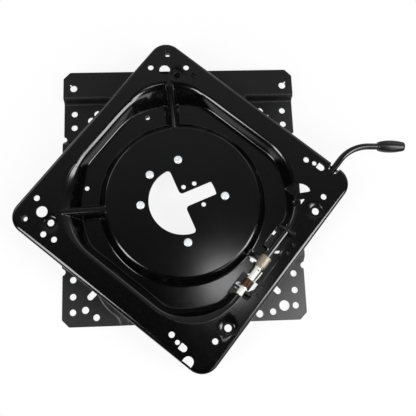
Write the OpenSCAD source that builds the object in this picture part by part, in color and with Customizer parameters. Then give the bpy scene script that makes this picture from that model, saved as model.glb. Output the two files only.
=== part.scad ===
// Swivel seat base: a seat plate that turns on a base plate, with a lever lock.
// Millimetres, +Z up. Origin on the swivel axis, at the height the base plate rests on.
// +Y points to the raised strip at the back of the base plate, +X to the lever's side.

/* [Sheet] */
// thickness of both pressed sheets
sheet = 3; // [2:0.5:4]

/* [Base plate] */
// width of the base plate across the vehicle
base_w = 360; // [300:1:420]
// front edge from the swivel axis
base_front = 174; // [140:1:200]
// back edge of the raised strip from the swivel axis
base_back = 217; // [180:1:240]
// where the step up to the strip starts
strip_from = 170.5; // [150:0.5:190]
// run of the step up to the strip
strip_run = 2.5; // [1:0.5:10]
// height of the strip and of the raised field above the corner pads
rise = 14; // [8:0.5:20]
// run of the sloping wall round the raised field
rise_run = 8; // [4:0.5:14]
// cut corner, each way
base_chamfer = 10.5; // [4:0.5:20]
// side edge of the raised field's middle, in from the base plate's side
field_in = 51; // [30:1:70]
// front and back edge of the raised field's middle
field_y = 165; // [140:1:170]
// corner radius of the raised field's middle
field_r = 57; // [30:1:80]
// side of the channel that runs out at the front, in from the base plate's side
channel_in = 87; // [70:1:120]
// front edge of the raised arms that run out at the sides
arm_front = 90; // [60:1:110]
// back edge of the raised arms that run out at the sides
arm_back = 108; // [80:1:120]
// foot radius of the latch step
latch_foot_r = 122.5; // [115:0.5:130]
// top edge radius of the latch step
latch_r = 121; // [114:0.5:128]
// top face of the latch step
latch_z = 28; // [22:0.5:30]
// width of a latch notch
latch_notch_w = 16; // [10:0.5:24]
// how far a latch notch reaches in from the step's edge
latch_notch_in = 9; // [5:0.5:11]
// foot radius of the bearing dome
dome_foot_r = 107; // [100:0.5:112]
// top edge radius of the bearing dome
dome_r = 102.5; // [96:0.5:106]
// top face of the bearing dome
dome_z = 44; // [38:0.5:50]
// radius of the hole in the dome
dome_hole_r = 75; // [65:0.5:80]
// inner radius of the four windows
window_in_r = 124.5; // [123:0.5:130]
// outer radius of the front windows
window_front_r = 164; // [140:1:166]
// outer radius of the back windows
window_back_r = 149; // [135:1:160]

/* [Base plate holes] */
// fixing holes, in from the side
bolt_in = 15.8; // [5:0.1:40]
// outer fixing holes, in from the front edge and as far behind the axis
bolt_in_y = 21; // [9:0.5:54]
// inner fixing holes, half spacing front to back
bolt_y_in = 130.5; // [100:0.5:150]
// front to back place of the last pair of fixing holes
bolt_y_mid = 105.7; // [90:0.1:120]
// fixing hole
bolt_d = 9.5; // [6:0.1:13]
// strip holes, in from the side
strip_hole_in = 16; // [5:0.5:40]
// strip holes from the swivel axis
strip_hole_y = 190.2; // [175:0.1:210]
// strip hole
strip_hole_d = 10.8; // [6:0.1:14]
// width of the nick beside a strip hole
nick_w = 1.8; // [1:0.1:3]
// reach of the nick from the hole's centre
nick_reach = 9; // [6:0.5:12]
// first back pad hole, in from the side
pad_a_in = 51.9; // [40:0.1:70]
// first back pad hole, in from the strip
pad_a_in_y = 17.7; // [10.5:0.1:30.5]
// second back pad hole, in from the side
pad_b_in = 42.1; // [30:0.1:60]
// second back pad hole, in from the strip
pad_b_in_y = 28.5; // [20.5:0.5:40.5]
// back pad hole
pad_d = 11; // [6:0.1:14]
// outer end of a front slot, in from the side
slot_in = 41.1; // [30:0.1:60]
// outer end of a front slot, in from the front edge
slot_in_y = 42.7; // [29:0.1:54]
// distance between a front slot's end centres
slot_len = 10; // [4:0.5:20]
// front slot width
slot_w = 9; // [5:0.1:12]
// how far a front slot's direction is turned from front to back
slot_turn = 45; // [0:1:90]
// front pair of holes, in from the side
front_in = 50.1; // [30:0.1:70]
// front pair of holes, in from the front edge
front_in_y = 12.9; // [6:0.1:24]
// front pair hole
front_d = 9.6; // [6:0.1:13]
// left front hole, in from the side
left_in = 34; // [25:0.5:45]
// left front hole, in from the front edge
left_in_y = 23.9; // [16:0.1:34]
// left front hole
left_d = 10.4; // [6:0.1:16]
// large right front hole, in from the side
right_in = 32.8; // [25:0.1:45]
// large right front hole, in from the front edge
right_in_y = 21.3; // [16:0.1:34]
// large right front hole
right_d = 15.5; // [8:0.1:18]
// extra right front hole, in from the side
extra_in = 70.3; // [60:0.1:80]
// extra right front hole, in from the front edge
extra_in_y = 10.4; // [6:0.1:24]
// extra right front hole
extra_d = 10.8; // [6:0.1:13]
// radius of the relief notches in the side edges
relief_r = 4.6; // [2:0.1:8]
// back relief notch from the swivel axis
relief_back = 111; // [100:1:120]
// front relief notch from the swivel axis
relief_front = 94; // [80:1:105]

/* [Seat plate] */
// side of the square seat plate
seat_w = 360; // [300:1:420]
// how far the seat plate is turned from facing forward
seat_turn = 50; // [-180:1:180]
// corner radius
seat_corner_r = 26; // [10:1:40]
// top face of the rim
rim_z = 62; // [50:0.5:75]
// depth of the turned down edge
edge_h = 20; // [10:0.5:30]
// outer radius of the edge's bend
edge_bend_r = 5; // [3.5:0.5:8]
// top face of the ring floor
floor_z = 34; // [30:0.5:45]
// radius of the ring floor, short of half the seat plate
floor_in = 27.5; // [20:0.5:40]
// rim radius of the back corners, short of half the seat plate
corner_in_back = 6; // [2:0.5:20]
// rim radius of the front corners, short of half the seat plate
corner_in_front = 17; // [5:0.5:25]
// left edge of the ring floor, in from the seat plate's edge
floor_in_left = 49.5; // [35:0.5:60]
// right edge of the ring floor, in from the seat plate's edge
floor_in_right = 40; // [35:0.5:60]
// front edge of the ring floor, in from the seat plate's edge
floor_in_front = 49.5; // [32:0.5:60]
// back edge of the ring floor, in from the seat plate's edge
floor_in_back = 33; // [32:0.5:60]
// rim's width on the left
rim_w_left = 39; // [20:0.5:50]
// rim's width on the right
rim_w_right = 37.5; // [20:0.5:50]
// rim's width at the front
rim_w_front = 33; // [20:0.5:50]
// rim's width at the back
rim_w_back = 29; // [20:0.5:50]
// top face of the disc
disc_z = 50; // [40:0.5:56]
// top edge radius of the disc
disc_r = 109.5; // [100:0.5:115]
// foot radius of the disc
disc_foot_r = 117; // [108:0.5:120]
// crest width of a ridge
ridge_w = 8; // [4:0.5:14]
// foot width of a ridge
ridge_foot_w = 21; // [12:0.5:30]
// horizontal thickness of the sloping walls
wall_t = 3.4; // [2:0.1:5]

/* [Seat plate opening] */
// radius of the half moon opening
moon_r = 50; // [40:0.5:53]
// width of the opening's tab
tab_w = 20.3; // [10:0.1:30]
// direction of the tab in the seat plate
tab_turn = -28.2; // [-90:0.1:90]
// corner radius where the tab meets the half moon
tab_root_r = 5; // [1:0.5:8]
// small holes beside the tab
tab_hole_d = 6.6; // [3:0.1:8]
// first small hole, along the tab
tab_hole_a_x = 9; // [5:0.5:30]
// first small hole, across the tab
tab_hole_a_y = 18.3; // [15:0.1:25]
// second and third small hole, along the tab
tab_hole_b_x = 25.5; // [15:0.5:35]
// second and third small hole, across the tab
tab_hole_b_y = 17; // [14:0.1:25]

/* [Seat plate holes] */
// back corner hole one, in from the side
sa_in_x = 51.4; // [30:0.1:70]
// back corner hole one, in from the front or back edge
sa_in_y = 16.6; // [10:0.1:30]
// usual seat plate hole
seat_hole_d = 8.4; // [6:0.1:12]
// large back corner hole, in from the side
sb_in_x = 41; // [30:0.5:60]
// large back corner hole, in from the front or back edge
sb_in_y = 35.1; // [20:0.1:50]
// large back corner hole
sb_d = 16; // [10:0.1:20]
// corner tip hole, in from the side
tip_in_x = 18; // [12:0.5:30]
// corner tip hole, in from the front or back edge
tip_in_y = 22.1; // [14:0.1:30]
// corner tip hole
tip_d = 10; // [6:0.1:12]
// ringed back hole, in from the side
sd_in_x = 36.6; // [25:0.1:50]
// ringed back hole, in from the front or back edge
sd_in_y = 55.5; // [45:0.1:65]
// ringed back hole
sd_d = 9.6; // [6:0.1:12]
// back corner hole five, in from the side
se_in_x = 17.8; // [10:0.1:30]
// back corner hole five, in from the front or back edge
se_in_y = 57.9; // [45:0.1:70]
// back corner hole six, in from the side
sf_in_x = 21.4; // [10:0.1:30]
// back corner hole six, in from the front or back edge
sf_in_y = 74.5; // [65:0.1:85]
// front corner hole one, in from the side
sg_in_x = 21.2; // [10:0.1:30]
// front corner hole one, in from the front or back edge
sg_in_y = 74.9; // [65:0.1:85]
// small front corner hole, in from the side
sh_in_x = 18.1; // [10:0.1:30]
// small front corner hole, in from the front or back edge
sh_in_y = 62.4; // [55:0.1:70]
// small front corner hole
sh_d = 6.6; // [4:0.1:9]
// front corner slot, in from the side
si_in_x = 17; // [10:0.5:30]
// front corner slot's round end, in from the front or back edge
si_in_y = 50.7; // [40:0.1:60]
// front corner slot's square end, in from the front edge
si_in_to = 57.2; // [50:0.1:62]
// front corner slot width
si_w = 9.5; // [5:0.1:12]
// front corner hole four, in from the side
sk_in_x = 50.7; // [35:0.1:65]
// front corner hole four, in from the front or back edge
sk_in_y = 22.5; // [12:0.1:30]
// ringed front hole, in from the side
sm_in_x = 75.7; // [60:0.1:90]
// ringed front hole, in from the front or back edge
sm_in_y = 19.4; // [12:0.1:30]
// ringed front hole
sm_d = 10.2; // [6:0.1:12]
// outer diameter of the pressed ring round a ringed hole
ring_d = 19; // [14:0.5:24]
// depth of the pressed ring
ring_deep = 0.8; // [0.2:0.1:1.5]
// edge hole the lever passes, in from the side
pass_in = 6.8; // [2:0.1:15]
// radius of the edge hole the lever passes
pass_r = 7.5; // [6:0.1:9]
// ring floor holes, across
drain_x = 70.8; // [50:0.1:90]
// ring floor holes, front to back
drain_y = 123.9; // [120:0.1:130]
// ring floor hole
drain_d = 6.7; // [3:0.1:9]
// bracket holes, out from the lever axis
brk_hole_out = 20.2; // [15:0.1:27]
// outer bracket holes, across
brk_hole_x1 = 45; // [35:0.5:52]
// inner bracket holes, across
brk_hole_x2 = 30.5; // [25:0.5:35]
// bracket hole
brk_hole_d = 5; // [3:0.1:7]

/* [Bearing] */
// outer radius of the spacer ring
spacer_r = 72; // [65:0.5:74]
// inner radius of the spacer and clamp rings
ring_in_r = 54; // [50:0.5:60]
// running clearance of the swivel, radial
swivel_gap = 0.06; // [0.02:0.01:0.1]
// lift of a glide ring from the face that slides on it
glide_gap = 0.05; // [0.02:0.01:0.1]
// outer radius of the clamp ring
clamp_r = 92; // [80:0.5:96]
// thickness of the clamp ring
clamp_t = 3; // [2:0.5:5]
// outer radius of the upper glide ring
glide_r = 98; // [85:0.5:101]
// inner radius of the upper glide ring
glide_in_r = 76; // [75.5:0.5:80]
// outer radius of the lower glide ring
glide_low_r = 90; // [80:0.5:92]
// thickness of the lower glide ring's flange
glide_low_t = 2; // [1:0.5:3]
// play of the lower glide ring's collar in the dome hole, radial
collar_gap = 0.1; // [0.05:0.05:0.3]
// radius of the rivet circle
rivet_pcd_r = 61.8; // [57:0.1:66]
// rivet shank
rivet_d = 8; // [5:0.5:10]
// rivet head
rivet_head_d = 12.8; // [10:0.1:16]
// rivet head height
rivet_head_h = 3.4; // [2:0.1:5]
// formed end of the rivet
rivet_tail_d = 12; // [9:0.5:14]
// formed end height
rivet_tail_h = 2.6; // [1:0.1:4]
// centre mark in a rivet head
rivet_mark_d = 3; // [1:0.5:5]

/* [Lever and lock] */
// lever axis, in from the seat plate's front edge
shaft_in = 35; // [25:0.5:45]
// lever axis height
shaft_z = 53; // [45:0.5:56]
// lever rod diameter
rod_d = 9.5; // [6:0.1:12]
// where the rod starts to bend
rod_straight = 199; // [185:1:220]
// bend radius of the rod
rod_bend_r = 56; // [30:1:80]
// angle of the bend
rod_bend = 55; // [20:1:80]
// straight rod from the bend to its end
rod_tail = 52; // [30:1:80]
// where the grip starts after the bend
grip_from = 13.5; // [5:0.5:30]
// grip diameter at its ends
grip_end_d = 13.6; // [12:0.1:20]
// grip diameter in its middle
grip_mid_d = 18.4; // [14:0.1:26]
// end wall of the grip beyond the rod
grip_wall = 5.5; // [2:0.5:10]
// stub shaft diameter
stub_d = 10; // [7:0.1:12]
// stub shaft's free end
stub_to = 58; // [50:1:70]
// where stub and rod meet inside the pawl's hub
joint_x = 3; // [-2:0.5:8]
// pawl hub diameter
hub_d = 16.5; // [13:0.1:20]
// pawl hub from
hub_x1 = -5; // [-10:0.5:0]
// pawl hub to
hub_x2 = 11.5; // [8:0.5:20]
// pawl finger width
finger_w = 10; // [6:0.5:14]
// front face of the finger's tip from the swivel axis
finger_tip = 122.6; // [121.5:0.1:126]
// lowest point of the finger
finger_low = 25.5; // [24:0.5:28]
// highest point of the finger's tip face
finger_high = 32; // [28:0.5:36]
// cross hole in the stub
pin_hole_d = 2.6; // [1:0.1:4]
// cross hole place
pin_hole_x = -9.8; // [-15:0.1:-6]
// running clearance of the shaft in its brackets, radial
shaft_gap = 0.06; // [0.02:0.01:0.1]
// play round the rod where it passes the recess wall, radial
rod_play = 1.15; // [0.5:0.05:1.2]
// bracket sheet
brk_t = 3; // [2:0.5:4]
// length of the left bracket's flange
flange_left = 26; // [20:0.5:40]
// length of the right bracket's flange
flange_right = 35; // [20:0.5:40]
// length of the left bracket's screw tab
tab_l = 13; // [9:0.5:18]
// length of the right bracket's back and lower walls
box_l = 23; // [15:0.5:30]
// left bracket's cheek
brk_left_x = -49.5; // [-56:0.5:-44]
// right bracket's cheek
brk_right_x = 56; // [50:0.5:62]
// outer edge of a bracket's flange, out from the lever axis
brk_from_out = 27; // [23:0.5:29]
// inner edge of a bracket's flange, out from the lever axis
brk_to_out = 12.5; // [5:0.5:17]
// inner end of a cheek, in from the lever axis
cheek_in = 14; // [5:0.5:19]
// lower end of a cheek
cheek_low = 40; // [38:0.5:48]
// spring coil inner radius
coil_in_r = 5.3; // [4:0.1:7]
// spring wire
wire_d = 1.4; // [0.8:0.1:2]
// spring coil from
coil_x1 = -41.5; // [-45:0.5:-36]
// spring coil to
coil_x2 = -27; // [-34:0.5:-20]
// end of the spring's long leg
leg_to = -10; // [-20:0.5:-7]
// washer outer diameter
washer_d = 15; // [13:0.5:20]
// washer thickness
washer_t = 1.4; // [0.8:0.1:3]
// screw head diameter
screw_head_d = 10; // [8:0.1:14]
// screw head height
screw_head_h = 3; // [2:0.1:5]
// screw shank
screw_d = 5; // [3:0.5:8]
// screw place across
screw_x = -43.5; // [-48:0.5:-38]
// screw, in from the lever axis
screw_in = 7.6; // [3:0.1:13]
// top face of the bracket's screw tab
tab_z = 43; // [40:0.5:50]
// half width of the lock's cut-out
cut_x = 60; // [50:0.5:70]
// outer edge of the lock's cut-out, out from the lever axis
cut_out = 12; // [5:0.5:20]
// inner edge of the lock's cut-out, in from the lever axis
cut_in = 17; // [13:0.5:27]
// nut across its flats
nut_w = 15; // [12:0.5:18]
// nut height
nut_h = 6; // [4:0.5:8]
// nut bore
nut_d = 6.8; // [5:0.1:10]

/* [Hidden] */
$fn = 96;
e = 0.02;
// how far the rod's straights reach into its bend, and how much fuller the bend is
rod_lap = 0.3;
rod_swell = 0.08;
// how far inside the disc's edge a ridge starts
ridge_in = 12;
field_x = base_w / 2 - field_in;
channel_x = base_w / 2 - channel_in;
bolt_x = base_w / 2 - bolt_in;
bolt_y = base_front - bolt_in_y;
strip_hole_x = base_w / 2 - strip_hole_in;
pad_a_x = base_w / 2 - pad_a_in;
pad_a_y = strip_from - pad_a_in_y;
pad_b_x = base_w / 2 - pad_b_in;
pad_b_y = strip_from - pad_b_in_y;
slot_x = base_w / 2 - slot_in;
slot_y = base_front - slot_in_y;
front_x = base_w / 2 - front_in;
front_y = base_front - front_in_y;
left_x = base_w / 2 - left_in;
left_y = base_front - left_in_y;
right_x = base_w / 2 - right_in;
right_y = base_front - right_in_y;
extra_x = base_w / 2 - extra_in;
extra_y = base_front - extra_in_y;
rim_back_r = seat_w / 2 - corner_in_back;
rim_front_r = seat_w / 2 - corner_in_front;
floor_r = seat_w / 2 - floor_in;
floor_left = seat_w / 2 - floor_in_left;
floor_right = seat_w / 2 - floor_in_right;
floor_front = seat_w / 2 - floor_in_front;
floor_back = seat_w / 2 - floor_in_back;
rim_left = seat_w / 2 - rim_w_left;
rim_right = seat_w / 2 - rim_w_right;
rim_front = seat_w / 2 - rim_w_front;
rim_back = seat_w / 2 - rim_w_back;
sa_x = seat_w / 2 - sa_in_x;
sa_y = seat_w / 2 - sa_in_y;
sb_x = seat_w / 2 - sb_in_x;
sb_y = seat_w / 2 - sb_in_y;
tip_x = seat_w / 2 - tip_in_x;
tip_y = seat_w / 2 - tip_in_y;
sd_x = seat_w / 2 - sd_in_x;
sd_y = seat_w / 2 - sd_in_y;
se_x = seat_w / 2 - se_in_x;
se_y = seat_w / 2 - se_in_y;
sf_x = seat_w / 2 - sf_in_x;
sf_y = seat_w / 2 - sf_in_y;
sg_x = seat_w / 2 - sg_in_x;
sg_y = seat_w / 2 - sg_in_y;
sh_x = seat_w / 2 - sh_in_x;
sh_y = seat_w / 2 - sh_in_y;
si_x = seat_w / 2 - si_in_x;
si_y = seat_w / 2 - si_in_y;
sk_x = seat_w / 2 - sk_in_x;
sk_y = seat_w / 2 - sk_in_y;
sm_x = seat_w / 2 - sm_in_x;
sm_y = seat_w / 2 - sm_in_y;
si_to = seat_w / 2 - si_in_to;
pass_x = seat_w / 2 - pass_in;
shaft_y = seat_w / 2 - shaft_in;
brk_hole_y = shaft_y + brk_hole_out;
brk_from = shaft_y + brk_from_out;
brk_to = shaft_y + brk_to_out;
cheek_to = shaft_y - cheek_in;
screw_y = shaft_y - screw_in;
cut_from = shaft_y + cut_out;
cut_to = shaft_y - cut_in;
raised_z = rise + sheet;
disc_under = disc_z - sheet;
// the disc's wall at the underside of the floor, and how thick it is at its top
disc_low_r = disc_foot_r + (disc_foot_r - disc_r) * sheet / (disc_z - floor_z);
disc_wall_t = 2;
collar_in_r = spacer_r + swivel_gap;
collar_r = dome_hole_r - collar_gap;
clamp_z = dome_z - sheet - glide_low_t - glide_gap;
rivet_turns = [45, 90, 135, 225, 315];
bend_c = [rod_straight, -shaft_y - rod_bend_r];
bend_end = [rod_straight + rod_bend_r * sin(rod_bend),
            -shaft_y - rod_bend_r * (1 - cos(rod_bend))];
rim_under = rim_z - sheet;
coil_r = coil_in_r + wire_d;

// wedge of a flat ring between two angles under 90 degrees apart
module ring_part(r1, r2, a1, a2) {
    intersection() {
        difference() {
            circle(r2);
            circle(r1);
        }
        polygon([[0, 0], 2 * r2 * [cos(a1), sin(a1)], 2 * r2 * [cos((a1 + a2) / 2), sin((a1 + a2) / 2)],
                 2 * r2 * [cos(a2), sin(a2)]]);
    }
}

// A slot from one end's centre, l long between the centres, turned by a
module slot2d(x, y, l, a, w) {
    translate([x, y]) rotate(a) {
        circle(w / 2);
        translate([l, 0]) circle(w / 2);
        translate([0, -w / 2]) square([l, w]);
    }
}

// Base plate
module base_outline() {
    x = base_w / 2;
    c = base_chamfer;
    polygon([[-x + c, -base_front], [x - c, -base_front], [x, -base_front + c], [x, base_back - c],
             [x - c, base_back], [-x + c, base_back], [-x, base_back - c], [-x, -base_front + c]]);
}

// The raised field from z1 up to z2, with g the distance inwards from its outer skin
module raised(z1, z2, g) {
    s = rise_run / rise;
    o1 = g + s * (z1 - sheet);
    o2 = g + s * (z2 - sheet);
    h = z2 - z1;
    for (sx = [-1, 1])
        for (sy = [-1, 1])
            translate([sx * (field_x - field_r), sy * (field_y - field_r), z1])
                cylinder(h = h, r1 = field_r - o1, r2 = field_r - o2);
    translate([field_x - field_r, 0, 0]) rotate([90, 0, -90])
        linear_extrude(2 * (field_x - field_r))
            polygon([[-field_y + o1, z1], [field_y - o1, z1], [field_y - o2, z2], [-field_y + o2, z2]]);
    translate([0, field_y - field_r, 0]) rotate([90, 0, 0])
        linear_extrude(2 * (field_y - field_r))
            polygon([[-field_x + o1, z1], [field_x - o1, z1], [field_x - o2, z2], [-field_x + o2, z2]]);
    translate([0, strip_from + 6, 0]) rotate([90, 0, 0])
        linear_extrude(strip_from + 6 + base_front + 1)
            polygon([[-channel_x + o1, z1], [channel_x - o1, z1], [channel_x - o2, z2],
                     [-channel_x + o2, z2]]);
    translate([-base_w / 2 - 1, 0, 0]) rotate([90, 0, 90])
        linear_extrude(base_w + 2)
            polygon([[-arm_front + o1, z1], [arm_back - o1, z1], [arm_back - o2, z2],
                     [-arm_front + o2, z2]]);
}

module strip(z1, z2, g) {
    s = strip_run / rise;
    translate([-base_w / 2 - 1, 0, 0]) rotate([90, 0, 90])
        linear_extrude(base_w + 2)
            polygon([[strip_from + g + s * (z1 - sheet), z1], [base_back + 1, z1], [base_back + 1, z2],
                     [strip_from + g + s * (z2 - sheet), z2]]);
}

module latch_notch() {
    translate([joint_x - latch_notch_w / 2, -latch_foot_r - 1, raised_z + 4])
        cube([latch_notch_w, latch_notch_in + latch_foot_r - latch_r + 1, latch_z - raised_z]);
}

module windows() {
    intersection() {
        union() {
            ring_part(window_in_r, window_front_r, -76, -12);
            ring_part(window_in_r, window_front_r, -168, -104);
        }
        union() {
            translate([-field_x + 12, -field_y + 10]) square([2 * field_x - 24, field_y]);
            translate([-base_w / 2 + 8, -arm_front + 12]) square([base_w - 16, arm_front]);
        }
    }
    ring_part(window_in_r, window_back_r, 12, 45);
    ring_part(window_in_r, window_back_r, 44.9, 78);
    ring_part(window_in_r, window_back_r, 102, 135.1);
    ring_part(window_in_r, window_back_r, 135, 172);
}

module base_holes() {
    for (s = [-1, 1]) {
        for (y = [bolt_y, bolt_y_in, -bolt_y_mid, -bolt_y_in, -bolt_y])
            translate([s * bolt_x, y, -1]) cylinder(h = sheet + 2, d = bolt_d);
        translate([s * strip_hole_x, strip_hole_y, rise - 1]) cylinder(h = sheet + 2, d = strip_hole_d);
        translate([s * strip_hole_x, strip_hole_y, rise - 1]) rotate(90 - s * 40)
            translate([0, -nick_w / 2, 0]) cube([nick_reach, nick_w, sheet + 2]);
        translate([s * pad_a_x, pad_a_y, -1]) cylinder(h = sheet + 2, d = pad_d);
        translate([s * pad_b_x, pad_b_y, -1]) cylinder(h = sheet + 2, d = pad_d);
        translate([0, 0, -1]) linear_extrude(sheet + 2)
            slot2d(s * slot_x, -slot_y, slot_len, 90 + s * slot_turn, slot_w);
        translate([s * front_x, -front_y, -1]) cylinder(h = sheet + 2, d = front_d);
        translate([s * base_w / 2, relief_back, -1]) cylinder(h = raised_z + 2, r = relief_r);
        translate([s * base_w / 2, -relief_front, -1]) cylinder(h = raised_z + 2, r = relief_r);
    }
    translate([-left_x, -left_y, -1]) cylinder(h = sheet + 2, d = left_d);
    translate([right_x, -right_y, -1]) cylinder(h = sheet + 2, d = right_d);
    translate([extra_x, -extra_y, -1]) cylinder(h = sheet + 2, d = extra_d);
}

module base_plate() {
    color([0.09, 0.09, 0.09])
    difference() {
        union() {
            intersection() {
                linear_extrude(raised_z) base_outline();
                union() {
                    translate([-base_w, -base_w, 0]) cube([2 * base_w, 2 * base_w, sheet]);
                    raised(sheet - e, raised_z, 0);
                    strip(sheet - e, raised_z, 0);
                }
            }
            translate([0, 0, raised_z - e])
                cylinder(h = latch_z - raised_z + e, r1 = latch_foot_r, r2 = latch_r);
            translate([0, 0, latch_z - e])
                cylinder(h = dome_z - latch_z + e, r1 = dome_foot_r, r2 = dome_r);
        }
        raised(-1, rise, wall_t);
        strip(-1, rise, wall_t);
        translate([0, 0, rise - e])
            cylinder(h = latch_z - raised_z + e, r1 = latch_foot_r - wall_t, r2 = latch_r - wall_t);
        translate([0, 0, latch_z - sheet - e])
            cylinder(h = dome_z - latch_z + e, r1 = dome_foot_r - wall_t, r2 = dome_r - wall_t);
        translate([0, 0, dome_z - sheet - 1]) cylinder(h = sheet + 2, r = dome_hole_r);
        translate([0, 0, rise - 1]) linear_extrude(sheet + 2) windows();
        for (a = [0, 90, 180, 270]) rotate(a) latch_notch();
        base_holes();
    }
}

// Bearing
module upper_glide() {
    color([0.85, 0.84, 0.8])
    translate([0, 0, dome_z]) difference() {
        cylinder(h = disc_under - dome_z - glide_gap, r = glide_r);
        translate([0, 0, -1]) cylinder(h = disc_under - dome_z + 2, r = glide_in_r);
    }
}

module lower_glide() {
    color([0.85, 0.84, 0.8])
    difference() {
        union() {
            translate([0, 0, clamp_z + glide_gap]) cylinder(h = glide_low_t, r = glide_low_r);
            translate([0, 0, clamp_z + glide_gap]) cylinder(h = glide_low_t + sheet, r = collar_r);
        }
        translate([0, 0, clamp_z - 1]) cylinder(h = glide_low_t + sheet + 3, r = collar_in_r);
    }
}

module rivet_holes(z1, z2, d) {
    for (a = rivet_turns) rotate(a) translate([rivet_pcd_r, 0, z1]) cylinder(h = z2 - z1, d = d);
}

module spacer_ring() {
    color([0.6, 0.6, 0.6])
    rotate(seat_turn) difference() {
        translate([0, 0, clamp_z]) cylinder(h = disc_under - clamp_z, r = spacer_r);
        translate([0, 0, clamp_z - 1]) cylinder(h = disc_under - clamp_z + 2, r = ring_in_r);
        rivet_holes(clamp_z - 1, disc_under + 1, rivet_d);
    }
}

module clamp_ring() {
    color([0.55, 0.55, 0.55])
    rotate(seat_turn) difference() {
        translate([0, 0, clamp_z - clamp_t]) cylinder(h = clamp_t, r = clamp_r);
        translate([0, 0, clamp_z - clamp_t - 1]) cylinder(h = clamp_t + 2, r = ring_in_r);
        rivet_holes(clamp_z - clamp_t - 1, clamp_z + 1, rivet_d);
    }
}

module rivet(a) {
    color([0.8, 0.8, 0.8])
    rotate(seat_turn + a) translate([rivet_pcd_r, 0, 0]) difference() {
        union() {
            translate([0, 0, clamp_z - clamp_t]) cylinder(h = disc_z - clamp_z + clamp_t, d = rivet_d);
            translate([0, 0, disc_z]) cylinder(h = rivet_head_h * 0.55, d = rivet_head_d);
            translate([0, 0, disc_z + rivet_head_h * 0.55])
                cylinder(h = rivet_head_h * 0.45, d1 = rivet_head_d, d2 = rivet_head_d * 0.66);
            translate([0, 0, clamp_z - clamp_t - rivet_tail_h]) cylinder(h = rivet_tail_h, d = rivet_tail_d);
        }
        translate([0, 0, disc_z + rivet_head_h - 0.5]) cylinder(h = 1, d = rivet_mark_d);
    }
}

// Seat plate, in its own axes: +Y towards its back, the lever axis along X at its front
module seat_outline(g) {
    x = seat_w / 2 - g;
    r = seat_corner_r - g;
    translate([-x + r, -x]) square([2 * (x - r), 2 * x]);
    translate([-x, -x + r]) square([2 * x, 2 * (x - r)]);
    for (sx = [-1, 1])
        for (sy = [-1, 1])
            translate([sx * (x - r), sy * (x - r)]) circle(r);
}

// What rounds the rim's outer edge, as a section across it
module round_section(x) {
    difference() {
        translate([x - edge_bend_r, rim_z - edge_bend_r]) square(edge_bend_r + 2);
        translate([x - edge_bend_r, rim_z - edge_bend_r]) circle(edge_bend_r);
    }
}

module edge_rounding() {
    x = seat_w / 2;
    c = x - seat_corner_r;
    for (a = [0, 90, 180, 270]) rotate(a) {
        translate([0, c, 0]) rotate([90, 0, 0]) linear_extrude(2 * c) round_section(x);
        translate([c, c, 0]) rotate_extrude(angle = 90) round_section(seat_corner_r);
    }
}

// The recess from z1 to z2, grown outwards by g
module recess(z1, z2, g) {
    d = rim_z - floor_z;
    function at(a, b, z) = a + (b - a) * (z - floor_z) / d;
    intersection() {
        union() {
            translate([0, 0, z1]) intersection() {
                cylinder(h = z2 - z1, r1 = at(floor_r, rim_back_r, z1) + g,
                    r2 = at(floor_r, rim_back_r, z2) + g);
                translate([-seat_w, 0, 0]) cube([2 * seat_w, seat_w, z2 - z1]);
            }
            translate([0, 0, z1]) intersection() {
                cylinder(h = z2 - z1, r1 = at(floor_r, rim_front_r, z1) + g,
                    r2 = at(floor_r, rim_front_r, z2) + g);
                translate([-seat_w, -seat_w, 0]) cube([2 * seat_w, seat_w + e, z2 - z1]);
            }
        }
        translate([0, seat_w, 0]) rotate([90, 0, 0]) linear_extrude(2 * seat_w)
            polygon([[-at(floor_left, rim_left, z1) - g, z1], [at(floor_right, rim_right, z1) + g, z1],
                     [at(floor_right, rim_right, z2) + g, z2], [-at(floor_left, rim_left, z2) - g, z2]]);
        translate([-seat_w, 0, 0]) rotate([90, 0, 90]) linear_extrude(2 * seat_w)
            polygon([[-at(floor_front, rim_front, z1) - g, z1], [at(floor_back, rim_back, z1) + g, z1],
                     [at(floor_back, rim_back, z2) + g, z2], [-at(floor_front, rim_front, z2) - g, z2]]);
    }
}

// A ridge from inside the disc's edge outwards, w1 wide at z1 and w2 at z2
module ridge(z1, z2, w1, w2) {
    translate([disc_r - ridge_in, 0, 0]) rotate([90, 0, 90]) linear_extrude(seat_w / 2)
        polygon([[-w1 / 2, z1], [w1 / 2, z1], [w2 / 2, z2], [-w2 / 2, z2]]);
}

module moon() {
    rotate(tab_turn) {
        difference() {
            circle(moon_r);
            translate([0, -moon_r - 1]) square([moon_r + 1, 2 * moon_r + 2]);
        }
        intersection() {
            circle(moon_r);
            translate([-e, -tab_w / 2]) square([moon_r + 1, tab_w]);
        }
        for (s = [-1, 1]) difference() {
            translate([-e, s * (tab_w / 2 + tab_root_r / 2) - tab_root_r / 2 - e])
                square([tab_root_r + e, tab_root_r + 2 * e]);
            translate([tab_root_r, s * (tab_w / 2 + tab_root_r)]) circle(tab_root_r);
        }
    }
}

module lock_cut() {
    translate([-cut_x + 1, -cut_from]) square([2 * cut_x, cut_from - cut_to]);
    translate([hub_x1 - 5, -cut_to - e]) square([hub_x2 - hub_x1 + 9, cut_to - finger_tip + 4]);
    translate([-24, -cut_from - 4]) square([38, 5]);
    polygon([[112, -105], [121, -114], [126.3, -121.8], [128, -129], [127, -134.5], [123.8, -137.5],
             [105, -120.5]]);
    polygon([[97, -125.5], [103.5, -132.5], [110.5, -138], [99, -138], [90, -133.5]]);
}

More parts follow.
